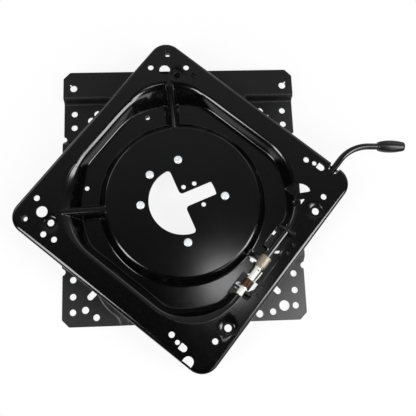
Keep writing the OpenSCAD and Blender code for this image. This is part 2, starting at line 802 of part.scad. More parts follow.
module seat_holes() {
    z = rim_under - 1;
    h = sheet + 2;
    for (s = [-1, 1]) {
        for (p = [[sa_x, sa_y], [se_x, se_y], [sf_x, sf_y], [sg_x, -sg_y], [sk_x, -sk_y]])
            translate([s * p[0], p[1], z]) cylinder(h = h, d = seat_hole_d);
        translate([s * sb_x, sb_y, z]) cylinder(h = h, d = sb_d);
        translate([s * tip_x, tip_y, z]) cylinder(h = h, d = tip_d);
        translate([s * sd_x, sd_y, z]) cylinder(h = h, d = sd_d);
        translate([s * sd_x, sd_y, rim_z - ring_deep]) cylinder(h = 2, d = ring_d);
        translate([s * sh_x, -sh_y, z]) cylinder(h = h, d = sh_d);
        translate([s * si_x, -si_y, z]) cylinder(h = h, d = si_w);
        translate([s * si_x - si_w / 2, -si_y, z]) cube([si_w, si_y - si_to, h]);
        translate([s * sm_x, -sm_y, z]) cylinder(h = h, d = sm_d);
        translate([s * sm_x, -sm_y, rim_z - ring_deep]) cylinder(h = 2, d = ring_d);
        translate([s * pass_x, -shaft_y, shaft_z]) cylinder(h = 20, r = pass_r);
        translate([s * (seat_w / 2 - 8), -shaft_y, shaft_z]) rotate([0, 90, 0])
            translate([0, 0, -6]) cylinder(h = 20, r = pass_r);
        translate([s * drain_x, drain_y, floor_z - sheet - 1]) cylinder(h = h, d = drain_d);
        for (x = [brk_hole_x1, brk_hole_x2])
            translate([s * x, -brk_hole_y, z]) cylinder(h = h, d = brk_hole_d);
    }
}

module seat_plate() {
    color([0.08, 0.08, 0.08])
    rotate(seat_turn) difference() {
        union() {
            difference() {
                union() {
                    translate([0, 0, rim_under]) linear_extrude(sheet) seat_outline(0);
                    translate([0, 0, rim_z - edge_h]) linear_extrude(edge_h - sheet + e) difference() {
                        seat_outline(0);
                        seat_outline(sheet);
                    }
                    recess(floor_z - sheet, rim_z - e, wall_t);
                }
                recess(floor_z, rim_z + 1, 0);
                edge_rounding();
            }
            translate([0, 0, floor_z - sheet])
                cylinder(h = disc_z - floor_z + sheet, r1 = disc_low_r, r2 = disc_r);
            intersection() {
                recess(floor_z - sheet, rim_z - e, 1);
                union() {
                    rotate(45) ridge(floor_z - e, disc_z, ridge_foot_w, ridge_w);
                    rotate(135) ridge(floor_z - e, disc_z, ridge_foot_w, ridge_w);
                }
            }
        }
        translate([0, 0, floor_z - sheet - e])
            cylinder(h = disc_z - floor_z + e, r1 = disc_low_r - wall_t, r2 = disc_r - disc_wall_t);
        intersection() {
            recess(floor_z - sheet - 1, disc_under, 0);
            union() {
                rotate(45) ridge(floor_z - sheet - 1, disc_under, ridge_foot_w - 3, ridge_w - 4);
                rotate(135) ridge(floor_z - sheet - 1, disc_under, ridge_foot_w - 3, ridge_w - 4);
            }
        }
        translate([0, 0, floor_z - sheet - 4]) linear_extrude(60) lock_cut();
        translate([cut_x - 5, -shaft_y, shaft_z]) rotate([0, 90, 0])
            cylinder(h = 40, d = rod_d + 2 * rod_play);
        translate([0, 0, disc_under - 1]) linear_extrude(sheet + 2) moon();
        rotate(tab_turn) {
            for (p = [[tab_hole_a_x, tab_hole_a_y], [tab_hole_b_x, tab_hole_b_y],
                      [tab_hole_b_x, -tab_hole_b_y]])
                translate([p[0], p[1], disc_under - 1]) cylinder(h = sheet + 2, d = tab_hole_d);
        }
        rivet_holes(disc_under - 1, disc_z + 1, rivet_d);
        seat_holes();
    }
}

module weld_nut(s) {
    color([0.3, 0.3, 0.3])
    rotate(seat_turn) translate([s * (tip_x - 1), tip_y - 1, rim_under - nut_h]) difference() {
        translate([-nut_w / 2, -nut_w / 2, 0]) cube([nut_w, nut_w, nut_h]);
        translate([0, 0, -1]) cylinder(h = nut_h + 2, d = nut_d);
    }
}

// Lock
module cheek(x, d) {
    difference() {
        translate([x, -brk_to, cheek_low]) cube([brk_t, brk_to - cheek_to, rim_under - cheek_low]);
        translate([x - 1, -shaft_y, shaft_z]) rotate([0, 90, 0])
            cylinder(h = brk_t + 2, d = d + 2 * shaft_gap);
    }
}

module bracket_left() {
    color([0.1, 0.1, 0.1])
    rotate(seat_turn) {
        difference() {
            union() {
                translate([brk_left_x, -brk_from, rim_under - brk_t])
                    cube([flange_left, brk_from - brk_to, brk_t]);
                cheek(brk_left_x, stub_d);
                translate([brk_left_x, -shaft_y + hub_d / 2 - 2, tab_z - brk_t])
                    cube([tab_l, shaft_y - hub_d / 2 + 2 - cheek_to, brk_t]);
            }
            translate([screw_x, -screw_y, tab_z - brk_t - 1]) cylinder(h = brk_t + 2, d = screw_d);
        }
    }
}

module bracket_right() {
    far = brk_right_x + brk_t;
    color([0.1, 0.1, 0.1])
    rotate(seat_turn) {
        translate([far - flange_right, -brk_from, rim_under - brk_t])
            cube([flange_right, brk_from - brk_to, brk_t]);
        cheek(brk_right_x, rod_d);
        translate([far - box_l, -brk_to, cheek_low])
            cube([box_l - brk_t + e, brk_to - cheek_to, brk_t]);
        translate([far - box_l, -brk_to - brk_t + e, cheek_low])
            cube([box_l, brk_t, rim_under - cheek_low]);
    }
}

module return_spring() {
    color([0.45, 0.25, 0.15])
    rotate(seat_turn) {
        translate([coil_x1, -shaft_y, shaft_z]) rotate([0, 90, 0]) difference() {
            cylinder(h = coil_x2 - coil_x1, r = coil_r);
            translate([0, 0, -1]) cylinder(h = coil_x2 - coil_x1 + 2, r = coil_in_r);
        }
        translate([coil_x2 - 1, -shaft_y - coil_in_r - wire_d / 2, shaft_z]) rotate([0, 90, 0])
            cylinder(h = leg_to - coil_x2 + 1, d = wire_d);
    }
}

module spring_screw() {
    color([0.75, 0.77, 0.78])
    rotate(seat_turn) translate([screw_x, -screw_y, 0]) {
        translate([0, 0, tab_z]) cylinder(h = screw_head_h * 0.5, d = screw_head_d);
        translate([0, 0, tab_z + screw_head_h * 0.5])
            cylinder(h = screw_head_h * 0.5, d1 = screw_head_d, d2 = screw_head_d * 0.7);
        translate([0, 0, tab_z - brk_t - 4]) cylinder(h = brk_t + 4, d = screw_d);
    }
}

module pawl() {
    color([0.42, 0.38, 0.33])
    rotate(seat_turn) difference() {
        union() {
            translate([hub_x1, -shaft_y, shaft_z]) rotate([0, 90, 0])
                cylinder(h = hub_x2 - hub_x1, d = hub_d);
            translate([joint_x - finger_w / 2, 0, 0]) rotate([90, 0, 90]) linear_extrude(finger_w)
                polygon([[-shaft_y - 3.5, shaft_z - 4], [-shaft_y + 4, shaft_z + 3.4],
                         [-finger_tip, finger_high], [-finger_tip, finger_low],
                         [-finger_tip - 5, finger_low]]);
        }
        translate([hub_x1 - 1, -shaft_y, shaft_z]) rotate([0, 90, 0])
            cylinder(h = joint_x - hub_x1 + 1, d = stub_d);
        translate([joint_x - e, -shaft_y, shaft_z]) rotate([0, 90, 0])
            cylinder(h = hub_x2 - joint_x + 2, d = rod_d);
    }
}

module stub_shaft() {
    color([0.8, 0.8, 0.78])
    rotate(seat_turn) difference() {
        translate([-stub_to, -shaft_y, shaft_z]) rotate([0, 90, 0])
            cylinder(h = stub_to + joint_x, d = stub_d);
        translate([pin_hole_x, -shaft_y, shaft_z - stub_d]) cylinder(h = 2 * stub_d, d = pin_hole_d);
    }
}

module shaft_washer() {
    color([0.7, 0.7, 0.68])
    rotate(seat_turn) translate([brk_left_x + brk_t + 0.3, -shaft_y, shaft_z]) rotate([0, 90, 0])
        difference() {
            cylinder(h = washer_t, d = washer_d);
            translate([0, 0, -1]) cylinder(h = washer_t + 2, d = stub_d);
        }
}

module lever_rod() {
    color([0.08, 0.08, 0.08])
    rotate(seat_turn) {
        translate([joint_x, -shaft_y, shaft_z]) rotate([0, 90, 0])
            cylinder(h = rod_straight - joint_x + rod_lap, d = rod_d);
        translate([bend_c[0], bend_c[1], shaft_z]) rotate(90 - rod_bend)
            rotate_extrude(angle = rod_bend)
                translate([rod_bend_r, 0]) circle(d = rod_d + rod_swell);
        translate([bend_end[0], bend_end[1], shaft_z]) rotate(-rod_bend) rotate([0, 90, 0])
            translate([0, 0, -rod_lap]) cylinder(h = rod_tail + rod_lap, d = rod_d);
    }
}

module lever_grip() {
    r1 = grip_end_d / 2;
    r2 = grip_mid_d / 2;
    l = rod_tail - grip_from + grip_wall;
    color([0.05, 0.05, 0.05])
    rotate(seat_turn) translate([bend_end[0], bend_end[1], shaft_z]) rotate(-rod_bend) rotate([0, 90, 0])
        translate([0, 0, grip_from]) difference() {
            rotate_extrude() polygon([[0, 0], [r1 - 1, 0], [r1, 1], [r1 + (r2 - r1) * 0.55, l * 0.15],
                [r1 + (r2 - r1) * 0.88, l * 0.28], [r2, l * 0.43], [r2, l * 0.52],
                [r1 + (r2 - r1) * 0.8, l * 0.7], [r1 + (r2 - r1) * 0.3, l * 0.87],
                [r1 - 0.7, l * 0.95], [r1 - 2.6, l - 0.6], [r1 - 4, l], [0, l]]);
            translate([0, 0, -1]) cylinder(h = rod_tail - grip_from + 1, d = rod_d);
        }
}

base_plate();
upper_glide();
lower_glide();
seat_plate();
spacer_ring();
clamp_ring();
rivet(rivet_turns[0]);  // rivet_1
rivet(rivet_turns[1]);  // rivet_2
rivet(rivet_turns[2]);  // rivet_3
rivet(rivet_turns[3]);  // rivet_4
rivet(rivet_turns[4]);  // rivet_5
weld_nut(-1);  // weld_nut_left
weld_nut(1);  // weld_nut_right
bracket_left();
bracket_right();
return_spring();
spring_screw();
pawl();
stub_shaft();
shaft_washer();
lever_rod();
lever_grip();
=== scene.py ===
"""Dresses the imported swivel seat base: pressed sheets, lever, lock, bearing, finishes and a plain studio.

Lengths in the classes are millimetres in the part's own frame. The seat plate's pieces are laid out in the
seat's own axes and turned into place with the plate.
"""

import logging
import math
from dataclasses import dataclass
from enum import Enum
from typing import Any, Callable, Iterable, Sequence

import bmesh
import bpy
import numpy as np
from mathutils import Matrix, Vector, kdtree
from mathutils.geometry import delaunay_2d_cdt


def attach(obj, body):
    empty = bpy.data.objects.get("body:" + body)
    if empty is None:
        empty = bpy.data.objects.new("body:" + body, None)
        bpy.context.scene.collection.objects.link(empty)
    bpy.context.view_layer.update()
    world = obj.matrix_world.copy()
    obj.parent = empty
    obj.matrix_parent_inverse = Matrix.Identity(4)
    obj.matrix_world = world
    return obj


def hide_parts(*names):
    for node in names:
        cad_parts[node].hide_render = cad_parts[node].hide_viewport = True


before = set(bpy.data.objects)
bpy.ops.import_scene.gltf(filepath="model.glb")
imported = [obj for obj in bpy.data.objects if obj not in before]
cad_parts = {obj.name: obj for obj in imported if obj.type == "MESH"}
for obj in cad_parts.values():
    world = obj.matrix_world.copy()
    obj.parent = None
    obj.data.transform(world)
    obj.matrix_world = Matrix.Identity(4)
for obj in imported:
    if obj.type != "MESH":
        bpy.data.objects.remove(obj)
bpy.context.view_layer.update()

LOG = logging.getLogger("swivel_seat_base")
MM = 0.001
SEAT_TURN = math.radians(50.0)
Array = np.ndarray
Height = Callable[[Array], Array]


# Plane geometry


def unit(vectors: Array) -> Array:
    """Vectors brought to length one."""
    return vectors / np.maximum(np.linalg.norm(vectors, axis=-1, keepdims=True), 1e-12)


def soft_max(a: Array, b: Array, k: float | Array) -> Array:
    """The larger of two values, eased over a difference of k."""
    k = np.maximum(k, 1e-6)
    ease = np.maximum(k - np.abs(a - b), 0.0) / k
    return np.maximum(a, b) + ease * ease * k / 4.0


def ease_step(x: Array) -> Array:
    """0 below 0 and 1 above 1, with a smooth rise between."""
    x = np.clip(x, 0.0, 1.0)
    return x * x * (3.0 - 2.0 * x)


def turned(points: Array, angle: float) -> Array:
    """Plane points turned about the origin.

    Args:
        points: One row for each point.
        angle: Turn in radians, anticlockwise.

    Returns:
        The turned points.
    """
    c, s = math.cos(angle), math.sin(angle)
    return np.stack([points[:, 0] * c - points[:, 1] * s, points[:, 0] * s + points[:, 1] * c], 1)


def arc(x: float, y: float, r: float, start: float, end: float, count: int = 24) -> Array:
    """Points on an arc.

    Args:
        x: Centre.
        y: Centre.
        r: Radius.
        start: First angle in degrees.
        end: Last angle in degrees.
        count: Number of points.

    Returns:
        The points, both ends among them.
    """
    a = np.radians(np.linspace(start, end, count))
    return np.stack([x + r * np.cos(a), y + r * np.sin(a)], 1)


def ramp(d: Array, run: float | Array, high: float | Array, low_r: float, top_r: float | Array) -> Array:
    """Height of a pressed wall whose foot and top edge are bent to a radius.

    Args:
        d: Distance inwards from the foot line.
        run: How far the wall reaches before it is at its full height.
        high: Full height.
        low_r: Radius of the bend at the foot.
        top_r: Radius of the bend at the top edge.

    Returns:
        The height at each distance.
    """
    angle = np.arctan2(high, run)
    half = np.tan(angle / 2.0)
    t1, t2 = low_r * half, top_r * half
    foot = low_r - np.sqrt(np.maximum(low_r**2 - np.maximum(d + t1, 0.0) ** 2, 0.0))
    crown = high - top_r + np.sqrt(np.maximum(top_r**2 - np.maximum(run + t2 - d, 0.0) ** 2, 0.0))
    straight = d * np.tan(angle)
    value = np.where(d < t1 * np.cos(angle), foot, straight)
    value = np.where(d > run - t2 * np.cos(angle), crown, value)
    return np.where(d < -t1, 0.0, np.where(d > run + t2, high, value))


def join_heights(a: Array, b: Array, full: float, k: float) -> Array:
    """The higher of two walls of one full height, filleted where they meet part of the way up."""
    x = np.maximum(a, b) / full
    return soft_max(a, b, k * 4.0 * x * (1.0 - x) + 1e-6)


def slope(height: Height, points: Array, h: float = 0.02) -> Array:
    """Gradient of a height over the plane."""
    dx, dy = np.array([h, 0.0]), np.array([0.0, h])
    gx = height(points + dx) - height(points - dx)
    gy = height(points + dy) - height(points - dy)
    return np.stack([gx, gy], 1) / (2.0 * h)


def box_distance(p: Array, x: float, y: float, r: float) -> Array:
    """Signed distance to a rectangle with round corners, positive outside."""
    q = np.abs(p) - np.array([x - r, y - r])
    return np.linalg.norm(np.maximum(q, 0.0), axis=1) + np.minimum(q.max(1), 0.0) - r


def trace(height: Height, box: Sequence[float], step: float = 1.5) -> list[tuple[Array, bool]]:
    """Lines on which a height is zero.

    Args:
        height: Value over the plane.
        box: Lowest and highest x and y as x0, y0, x1, y1.
        step: Width of the cells that are searched.

    Returns:
        Each line's points, and whether it closes on itself.
    """
    xs = np.arange(box[0], box[2] + step, step) + 0.0137
    ys = np.arange(box[1], box[3] + step, step) + 0.0093
    grid = np.stack(np.meshgrid(xs, ys), -1)
    value = height(grid.reshape(-1, 2)).reshape(len(ys), len(xs))
    inside = value < 0.0
    across, up = np.argwhere(inside[:, :-1] != inside[:, 1:]), np.argwhere(inside[:-1] != inside[1:])
    across_id = np.full((len(ys), len(xs) - 1), -1)
    up_id = np.full((len(ys) - 1, len(xs)), -1)
    across_id[tuple(across.T)] = np.arange(len(across))
    up_id[tuple(up.T)] = len(across) + np.arange(len(up))
    spots = []
    for found, shift in ((across, (0, 1)), (up, (1, 0))):
        a, b = tuple(found.T), tuple((found + shift).T)
        t = (value[a] / (value[a] - value[b]))[:, None]
        spots.append(grid[a] * (1.0 - t) + grid[b] * t)
    spots = np.concatenate(spots)
    sides = np.stack([across_id[:-1], up_id[:, 1:], across_id[1:], up_id[:, :-1]], -1).reshape(-1, 4)
    links: dict[int, list[int]] = {}
    for cell in sides[(sides >= 0).sum(1) >= 2]:
        ids = [int(i) for i in cell if i >= 0]
        for a, b in zip(ids[::2], ids[1::2]):
            links.setdefault(a, []).append(b)
            links.setdefault(b, []).append(a)
    lines, used = [], set()
    for start in sorted(links, key=lambda i: len(links[i])):
        if start in used:
            continue
        chain = [start]
        used.add(start)
        while True:
            ahead = [i for i in links[chain[-1]] if i not in used]
            if not ahead:
                break
            chain.append(ahead[0])
            used.add(ahead[0])
        closed = len(chain) > 3 and start in links[chain[-1]]
        lines.append((pulled(height, spots[chain], step), closed))
    return lines


def pulled(height: Height, points: Array, reach: float) -> Array:
    """Points moved along the gradient onto the line where a height is zero."""
    for _ in range(4):
        g = slope(height, points)
        move = height(points)[:, None] * g / np.maximum((g * g).sum(1, keepdims=True), 1e-9)
        size = np.linalg.norm(move, axis=1, keepdims=True)
        points = points - move * np.minimum(1.0, reach / np.maximum(size, 1e-9))
    return points


def even(line: Array, closed: bool, step: float) -> Array:
    """A line's points laid out anew at equal distances."""
    if closed:
        line = np.concatenate([line, line[:1]])
    run = np.concatenate([[0.0], np.cumsum(np.linalg.norm(np.diff(line, axis=0), axis=1))])
    keep = np.concatenate([[True], np.diff(run) > 1e-9])
    run, line = run[keep], line[keep]
    count = max(8, int(round(run[-1] / step)))
    at = np.linspace(0.0, run[-1], count + 1)
    at = at[:-1] if closed else at
    return np.stack([np.interp(at, run, line[:, i]) for i in range(2)], 1)


def softened(line: Array, radius: float, step: float = 0.3) -> Array:
    """A closed line with its corners eased, as a punch leaves them."""
    dense = even(line, True, step)
    reach = int(3.0 * radius / step)
    offsets = np.arange(-reach, reach + 1)
    weight = np.exp(-0.5 * (offsets * step / radius) ** 2)
    weight /= weight.sum()
    return sum(w * np.roll(dense, -int(o), axis=0) for w, o in zip(weight, offsets))


def signed_area(line: Array) -> float:
    """Area inside a closed line, positive when it runs anticlockwise."""
    after = np.roll(line, -1, axis=0)
    return float(0.5 * (line[:, 0] * after[:, 1] - line[:, 1] * after[:, 0]).sum())


def inside_line(points: Array, line: Array) -> Array:
    """Which points lie inside a closed line."""
    result = np.zeros(len(points), bool)
    near = np.flatnonzero(((points >= line.min(0)) & (points <= line.max(0))).all(1))
    a, b = line, np.roll(line, -1, axis=0)
    for part in np.array_split(near, max(1, len(near) * len(line) // 4_000_000 + 1)):
        p = points[part]
        over = (a[None, :, 1] > p[:, None, 1]) != (b[None, :, 1] > p[:, None, 1])
        rise = np.where(b[:, 1] == a[:, 1], 1e-12, b[:, 1] - a[:, 1])
        cross = (b[:, 0] - a[:, 0]) * (p[:, None, 1] - a[None, :, 1]) / rise + a[:, 0]
        result[part] = ((over & (p[:, None, 0] < cross)).sum(1) % 2).astype(bool)
    return result


def thinned(points: Array, gap: float) -> Array:
    """Points without those that lie closer than a gap to an earlier one."""
    tree = kdtree.KDTree(len(points))
    for i, p in enumerate(points):
        tree.insert((p[0], p[1], 0.0), i)
    tree.balance()
    dropped = np.zeros(len(points), bool)
    for i, p in enumerate(points):
        if not dropped[i]:
            for _, j, _ in tree.find_range((p[0], p[1], 0.0), gap):
                if j > i:
                    dropped[j] = True
    return points[~dropped]


def far_from(points: Array, others: Array, gap: float) -> Array:
    """Points that keep a gap from all the others."""
    tree = kdtree.KDTree(len(others))
    for i, p in enumerate(others):
        tree.insert((p[0], p[1], 0.0), i)
    tree.balance()
    keep = [tree.find((p[0], p[1], 0.0))[2] > gap for p in points]
    return points[np.array(keep, bool)] if len(points) else points


# Meshes


def new_object(name: str, vertices: Array, faces: Iterable[Sequence[int]],
               normals: Array | None = None) -> bpy.types.Object:
    """A smooth mesh object at the origin.

    Args:
        name: Name of the piece.
        vertices: Places in metres.
        faces: Vertex numbers of each face.
        normals: A normal for each vertex, where the shading is to follow an exact surface.

    Returns:
        The linked object.
    """
    mesh = bpy.data.meshes.new(name)
    mesh.from_pydata(vertices.tolist(), [], [list(f) for f in faces])
    mesh.validate()
    mesh.update()
    mesh.polygons.foreach_set("use_smooth", [True] * len(mesh.polygons))
    if normals is not None:
        mesh.normals_split_custom_set_from_vertices(normals.tolist())
    piece = bpy.data.objects.new(name, mesh)
    bpy.context.scene.collection.objects.link(piece)
    return piece


def eased(piece: bpy.types.Object, angle: float = 34.0) -> bpy.types.Object:
    """Smooths a piece's shading between its sharp edges, and turns its faces outwards."""
    mesh = piece.data
    mesh.polygons.foreach_set("use_smooth", [True] * len(mesh.polygons))
    mesh.set_sharp_from_angle(angle=math.radians(angle))
    work = bmesh.new()
    work.from_mesh(mesh)
    if work.calc_volume(signed=True) < 0.0:
        bmesh.ops.reverse_faces(work, faces=work.faces)
        work.to_mesh(mesh)
    work.free()
    return piece


def settled(piece: bpy.types.Object) -> bpy.types.Object:
    """Turns a piece's modifiers into its plain mesh."""
    graph = bpy.context.evaluated_depsgraph_get()
    plain = bpy.data.meshes.new_from_object(piece.evaluated_get(graph))
    piece.modifiers.clear()
    piece.data = plain
    return eased(piece)


def carved(piece: bpy.types.Object, *cutters: bpy.types.Object) -> bpy.types.Object:
    """Cuts other closed pieces out of a piece, and removes them."""
    for cutter in cutters:
        cut = piece.modifiers.new("cut", "BOOLEAN")
        cut.operation, cut.solver, cut.object = "DIFFERENCE", "EXACT", cutter
    settled(piece)
    for cutter in cutters:
        bpy.data.objects.remove(cutter)
    return piece


def bevelled(piece: bpy.types.Object, width: float, steps: int = 2) -> bpy.types.Object:
    """Rounds a piece's sharp edges to a width in millimetres."""
    bevel = piece.modifiers.new("bevel", "BEVEL")
    bevel.width, bevel.segments, bevel.limit_method = width * MM, steps, "ANGLE"
    bevel.angle_limit = math.radians(30.0)
    return settled(piece)


def part_frame(points: Any) -> Array:
    """Points in the seat's own axes, in millimetres, brought into the part's frame in metres."""
    points = np.atleast_2d(np.asarray(points, float))
    return np.concatenate([turned(points[:, :2], SEAT_TURN), points[:, 2:]], 1) * MM


def lathe(name: str, profile: Sequence[tuple[float, float]], start: Sequence[float], axis: str = "z",
          sides: int = 72,
          ring: bool = False) -> bpy.types.Object:
    """A turned piece in the seat's axes.

    Args:
        name: Name of the piece.
        profile: Distance along the axis and radius, from the start round the outside to the end.
        start: Where the axis starts.
        axis: The seat's u axis or the upright z axis.
        sides: Number of sides.
        ring: Whether the profile closes on itself round a bore.

    Returns:
        The piece.
    """
    lines = {"u": ((1, 0, 0), (0, 1, 0), (0, 0, 1)), "z": ((0, 0, 1), (1, 0, 0), (0, 1, 0))}
    way, side, up = (np.array(v, float) for v in lines[axis])
    angles = np.arange(sides) * 2.0 * math.pi / sides
    round_off = np.cos(angles)[:, None] * side + np.sin(angles)[:, None] * up
    points, rings = [], []
    for along, r in profile:
        middle = np.array(start, float) + way * along
        new = middle[None] if r < 1e-6 else middle + r * round_off
        rings.append(list(range(len(points), len(points) + len(new))))
        points += list(new)
    pairs = list(zip(rings[:-1], rings[1:])) + ([(rings[-1], rings[0])] if ring else [])
    faces = []
    for a, b in pairs:
        for i in range(sides):
            j = (i + 1) % sides
            corners = [a[i % len(a)], a[j % len(a)], b[j % len(b)], b[i % len(b)]]
            faces.append(list(dict.fromkeys(corners)))
    return eased(new_object(name, part_frame(points), faces))


def rod_profile(low: float, high: float, r: float, c: float = 0.5) -> list[tuple[float, float]]:
    """Profile of a plain round bar with eased ends."""
    return [(low, 0.0), (low, r - c), (low + c, r), (high - c, r), (high, r - c), (high, 0.0)]


def ring_profile(low: float, high: float, inner: float, outer: float,
                 c: float = 0.35) -> list[tuple[float, float]]:
    """Profile of a flat ring with eased edges."""
    return [(low, inner + c), (low, outer - c), (low + c, outer), (high - c, outer), (high, outer - c),
            (high, inner + c), (high - c, inner), (low + c, inner)]


def prism(name: str, outline: Any, low: float, high: float, along: str = "z") -> bpy.types.Object:
    """A straight piece in the seat's axes with one section all along.

    Args:
        name: Name of the piece.
        outline: The section's corners, as (u, v) for an upright piece or (v, z) for one along u.
        low: Where it starts.
        high: Where it ends.
        along: The axis it runs along.

    Returns:
        The piece.
    """
    flat = np.asarray(outline, float)
    n = len(flat)
    ends = [np.insert(flat, 2 if along == "z" else 0, level, axis=1) for level in (low, high)]
    faces = [list(range(n))[::-1], list(range(n, 2 * n))]
    faces += [[i, (i + 1) % n, n + (i + 1) % n, n + i] for i in range(n)]
    return eased(new_object(name, part_frame(np.concatenate(ends)), faces))


class PressedSheet:
    """A sheet pressed into shape, cut out along closed lines, with eased edges and an even thickness.

    Attributes:
        thick: Thickness of the sheet.
        ease: Radius left on cut edges.
        spacing: Distance between points on open flat ground.
    """

    thick: float = 3.0
    ease: float = 0.4
    spacing: float = 9.0

    def top(self, q: Array) -> Array:
        """Places of blank points on the pressed sheet's upper face."""
        raise NotImplementedError

    def cuts(self) -> tuple[Array, list[Array]]:
        """The blank's outline and the lines cut inside it."""
        raise NotImplementedError

    def bends(self) -> list[Array]:
        """Points in rows along the bends of the blank."""
        raise NotImplementedError

    def normal(self, q: Array) -> Array:
        """Directions that the upper face looks in."""
        h = 0.03
        du = self.top(q + [h, 0.0]) - self.top(q - [h, 0.0])
        dv = self.top(q + [0.0, h]) - self.top(q - [0.0, h])
        return unit(np.cross(du, dv))

    def laid(self, line: Array, closed: bool, flat: float = 4.5, turn: float = 9.0) -> Array:
        """A line's points laid out anew, closer where it or the sheet under it turns.

        Args:
            line: Points on the blank.
            closed: Whether the line closes on itself.
            flat: Longest step.
            turn: Largest turn in one step, in degrees.

        Returns:
            The new points.
        """
        step = 0.3
        dense = even(line, closed, step)
        ahead, back = (np.roll(dense, -3, axis=0), np.roll(dense, 3, axis=0)) if closed else (
            dense[np.minimum(np.arange(len(dense)) + 3, len(dense) - 1)],
            dense[np.maximum(np.arange(len(dense)) - 3, 0)],
        )
        a, b = unit(ahead - dense), unit(dense - back)
        bend = np.arccos(np.clip((a * b).sum(1), -1.0, 1.0)) / (3.0 * step)
        facing = self.normal(dense)
        after = np.minimum(np.arange(len(facing)) + 1, len(facing) - 1)
        other = np.roll(facing, -1, axis=0) if closed else facing[after]
        tilt = np.arccos(np.clip((facing * other).sum(1), -1.0, 1.0)) / step
        weight = np.maximum(1.0 / flat, np.maximum(bend, tilt) / math.radians(turn))
        weight = np.minimum(weight, 1.0 / 0.45)
        pad = 4
        wide = np.pad(weight, pad, mode="wrap" if closed else "edge")
        weight = np.convolve(wide, np.ones(2 * pad + 1) / (2 * pad + 1), "valid")
        total = np.concatenate([[0.0], np.cumsum(weight) * step])
        count = max(10, int(math.ceil(total[-1])))
        at = np.linspace(0.0, total[-1], count + 1)[:-1] if closed else np.linspace(0.0, total[-2], count + 1)
        where = np.interp(at, total, np.arange(len(total)))
        low = np.floor(where).astype(int) % len(dense)
        high = (low + 1) % len(dense) if closed else np.minimum(low + 1, len(dense) - 1)
        t = (where - np.floor(where))[:, None]
        return dense[low] * (1.0 - t) + dense[high] * t

    def rows(self, height: Height, full: float, low_r: float, top_r: float, box: Sequence[float],
             steps: int = 5) -> Array:
        """Points in rows along a pressed wall, closest at its two bends.

        Args:
            height: Height of the wall over the blank.
            full: Its full height.
            low_r: Radius of the bend at the foot.
            top_r: Radius of the bend at the top edge.
            box: Where to look for the wall.
            steps: Rows on each bend.

        Returns:
            The points of all rows.
        """
        found = []
        for line, closed in trace(lambda p: height(p) - full / 2.0, box):
            if len(line) < 6:
                continue
            mid = pulled(lambda p: height(p) - full / 2.0, self.laid(line, closed, 4.0, 6.0), 1.0)
            g = slope(height, mid)
            steep = np.arctan(np.linalg.norm(g, axis=1))
            uphill = unit(g)
            levels = [low_r * (1.0 - np.cos(steep * (k + 0.15) / (steps + 0.15))) for k in range(steps + 1)]
            levels += [full - top_r * (1.0 - np.cos(steep * (k + 0.15) / (steps + 0.15)))
                       for k in range(steps, -1, -1)]
            for number, level in enumerate(levels):
                low, high = np.full(len(mid), -30.0), np.full(len(mid), 30.0)
                near = np.abs(height(mid + uphill * 14.0) - full) < 1e-3
                high[near] = 14.0
                near = height(mid - uphill * 14.0) < 1e-3
                low[near] = -14.0
                good = height(mid + uphill * high[:, None]) > level
                good &= height(mid + uphill * low[:, None]) < level
                for _ in range(26):
                    middle = (low + high) / 2.0
                    above = height(mid + uphill * middle[:, None]) > level
                    high, low = np.where(above, middle, high), np.where(above, low, middle)
                row = mid + uphill * high[:, None]
                found.append(row[good])
                if number in (0, len(levels) - 1):
                    side = -1.0 if number == 0 else 1.0
                    found.append((row + side * 0.7 * uphill)[good])
                    found.append((row + side * 3.0 * uphill)[good])
        return np.concatenate(found) if found else np.zeros((0, 2))

    def build(self, name: str) -> bpy.types.Object:
        """The sheet as one closed mesh.

        Args:
            name: Name of the piece.

        Returns:
            The piece, with exact normals.
        """
        outline, holes = self.cuts()
        lines = [outline if signed_area(outline) > 0 else outline[::-1]]
        lines += [h if signed_area(h) < 0 else h[::-1] for h in holes]
        lines = [self.laid(line, True) for line in lines]
        inward = []
        for line in lines:
            along = unit(np.roll(line, -1, axis=0) - np.roll(line, 1, axis=0))
            inward.append(np.stack([-along[:, 1], along[:, 0]], 1))
        edge, into = np.concatenate(lines), np.concatenate(inward)
        h = 0.03
        reach = (self.top(edge + h * into) - self.top(edge - h * into)) / (2.0 * h)
        stretch = np.linalg.norm(reach, axis=1, keepdims=True)
        rim = edge + into * self.ease / np.maximum(stretch, 0.2)
        inner = self.inner_points(lines)
        blank = np.concatenate([rim, inner])
        starts = np.cumsum([0] + [len(line) for line in lines])
        spans = list(zip(starts[:-1], starts[1:]))
        borders = [(a + i, a + (i + 1) % (b - a)) for a, b in spans for i in range(b - a)]
        places, _, faces, *_ = delaunay_2d_cdt([Vector(p) for p in blank], borders, [], 0, 1e-7)
        if len(places) != len(blank):
            LOG.warning("%s: the cut lines cross, %d points became %d", name, len(blank), len(places))
            blank = np.array([tuple(p) for p in places])
        triangles = np.array([f for f in faces if len(f) == 3])
        on_edge = (triangles < len(edge)).all(1)
        middle = blank[triangles[on_edge]].mean(1)
        solid = inside_line(middle, rim[: len(lines[0])])
        for a, b in zip(starts[1:-1], starts[2:]):
            solid &= ~inside_line(middle, rim[a:b])
        keep = np.ones(len(triangles), bool)
        keep[np.flatnonzero(on_edge)[~solid]] = False
        triangles = triangles[keep]
        corner = blank[triangles]
        area = np.cross(corner[:, 1] - corner[:, 0], corner[:, 2] - corner[:, 0])
        triangles[area < 0] = triangles[area < 0][:, ::-1]
        return self.closed_mesh(name, blank, triangles, edge, reach, starts)

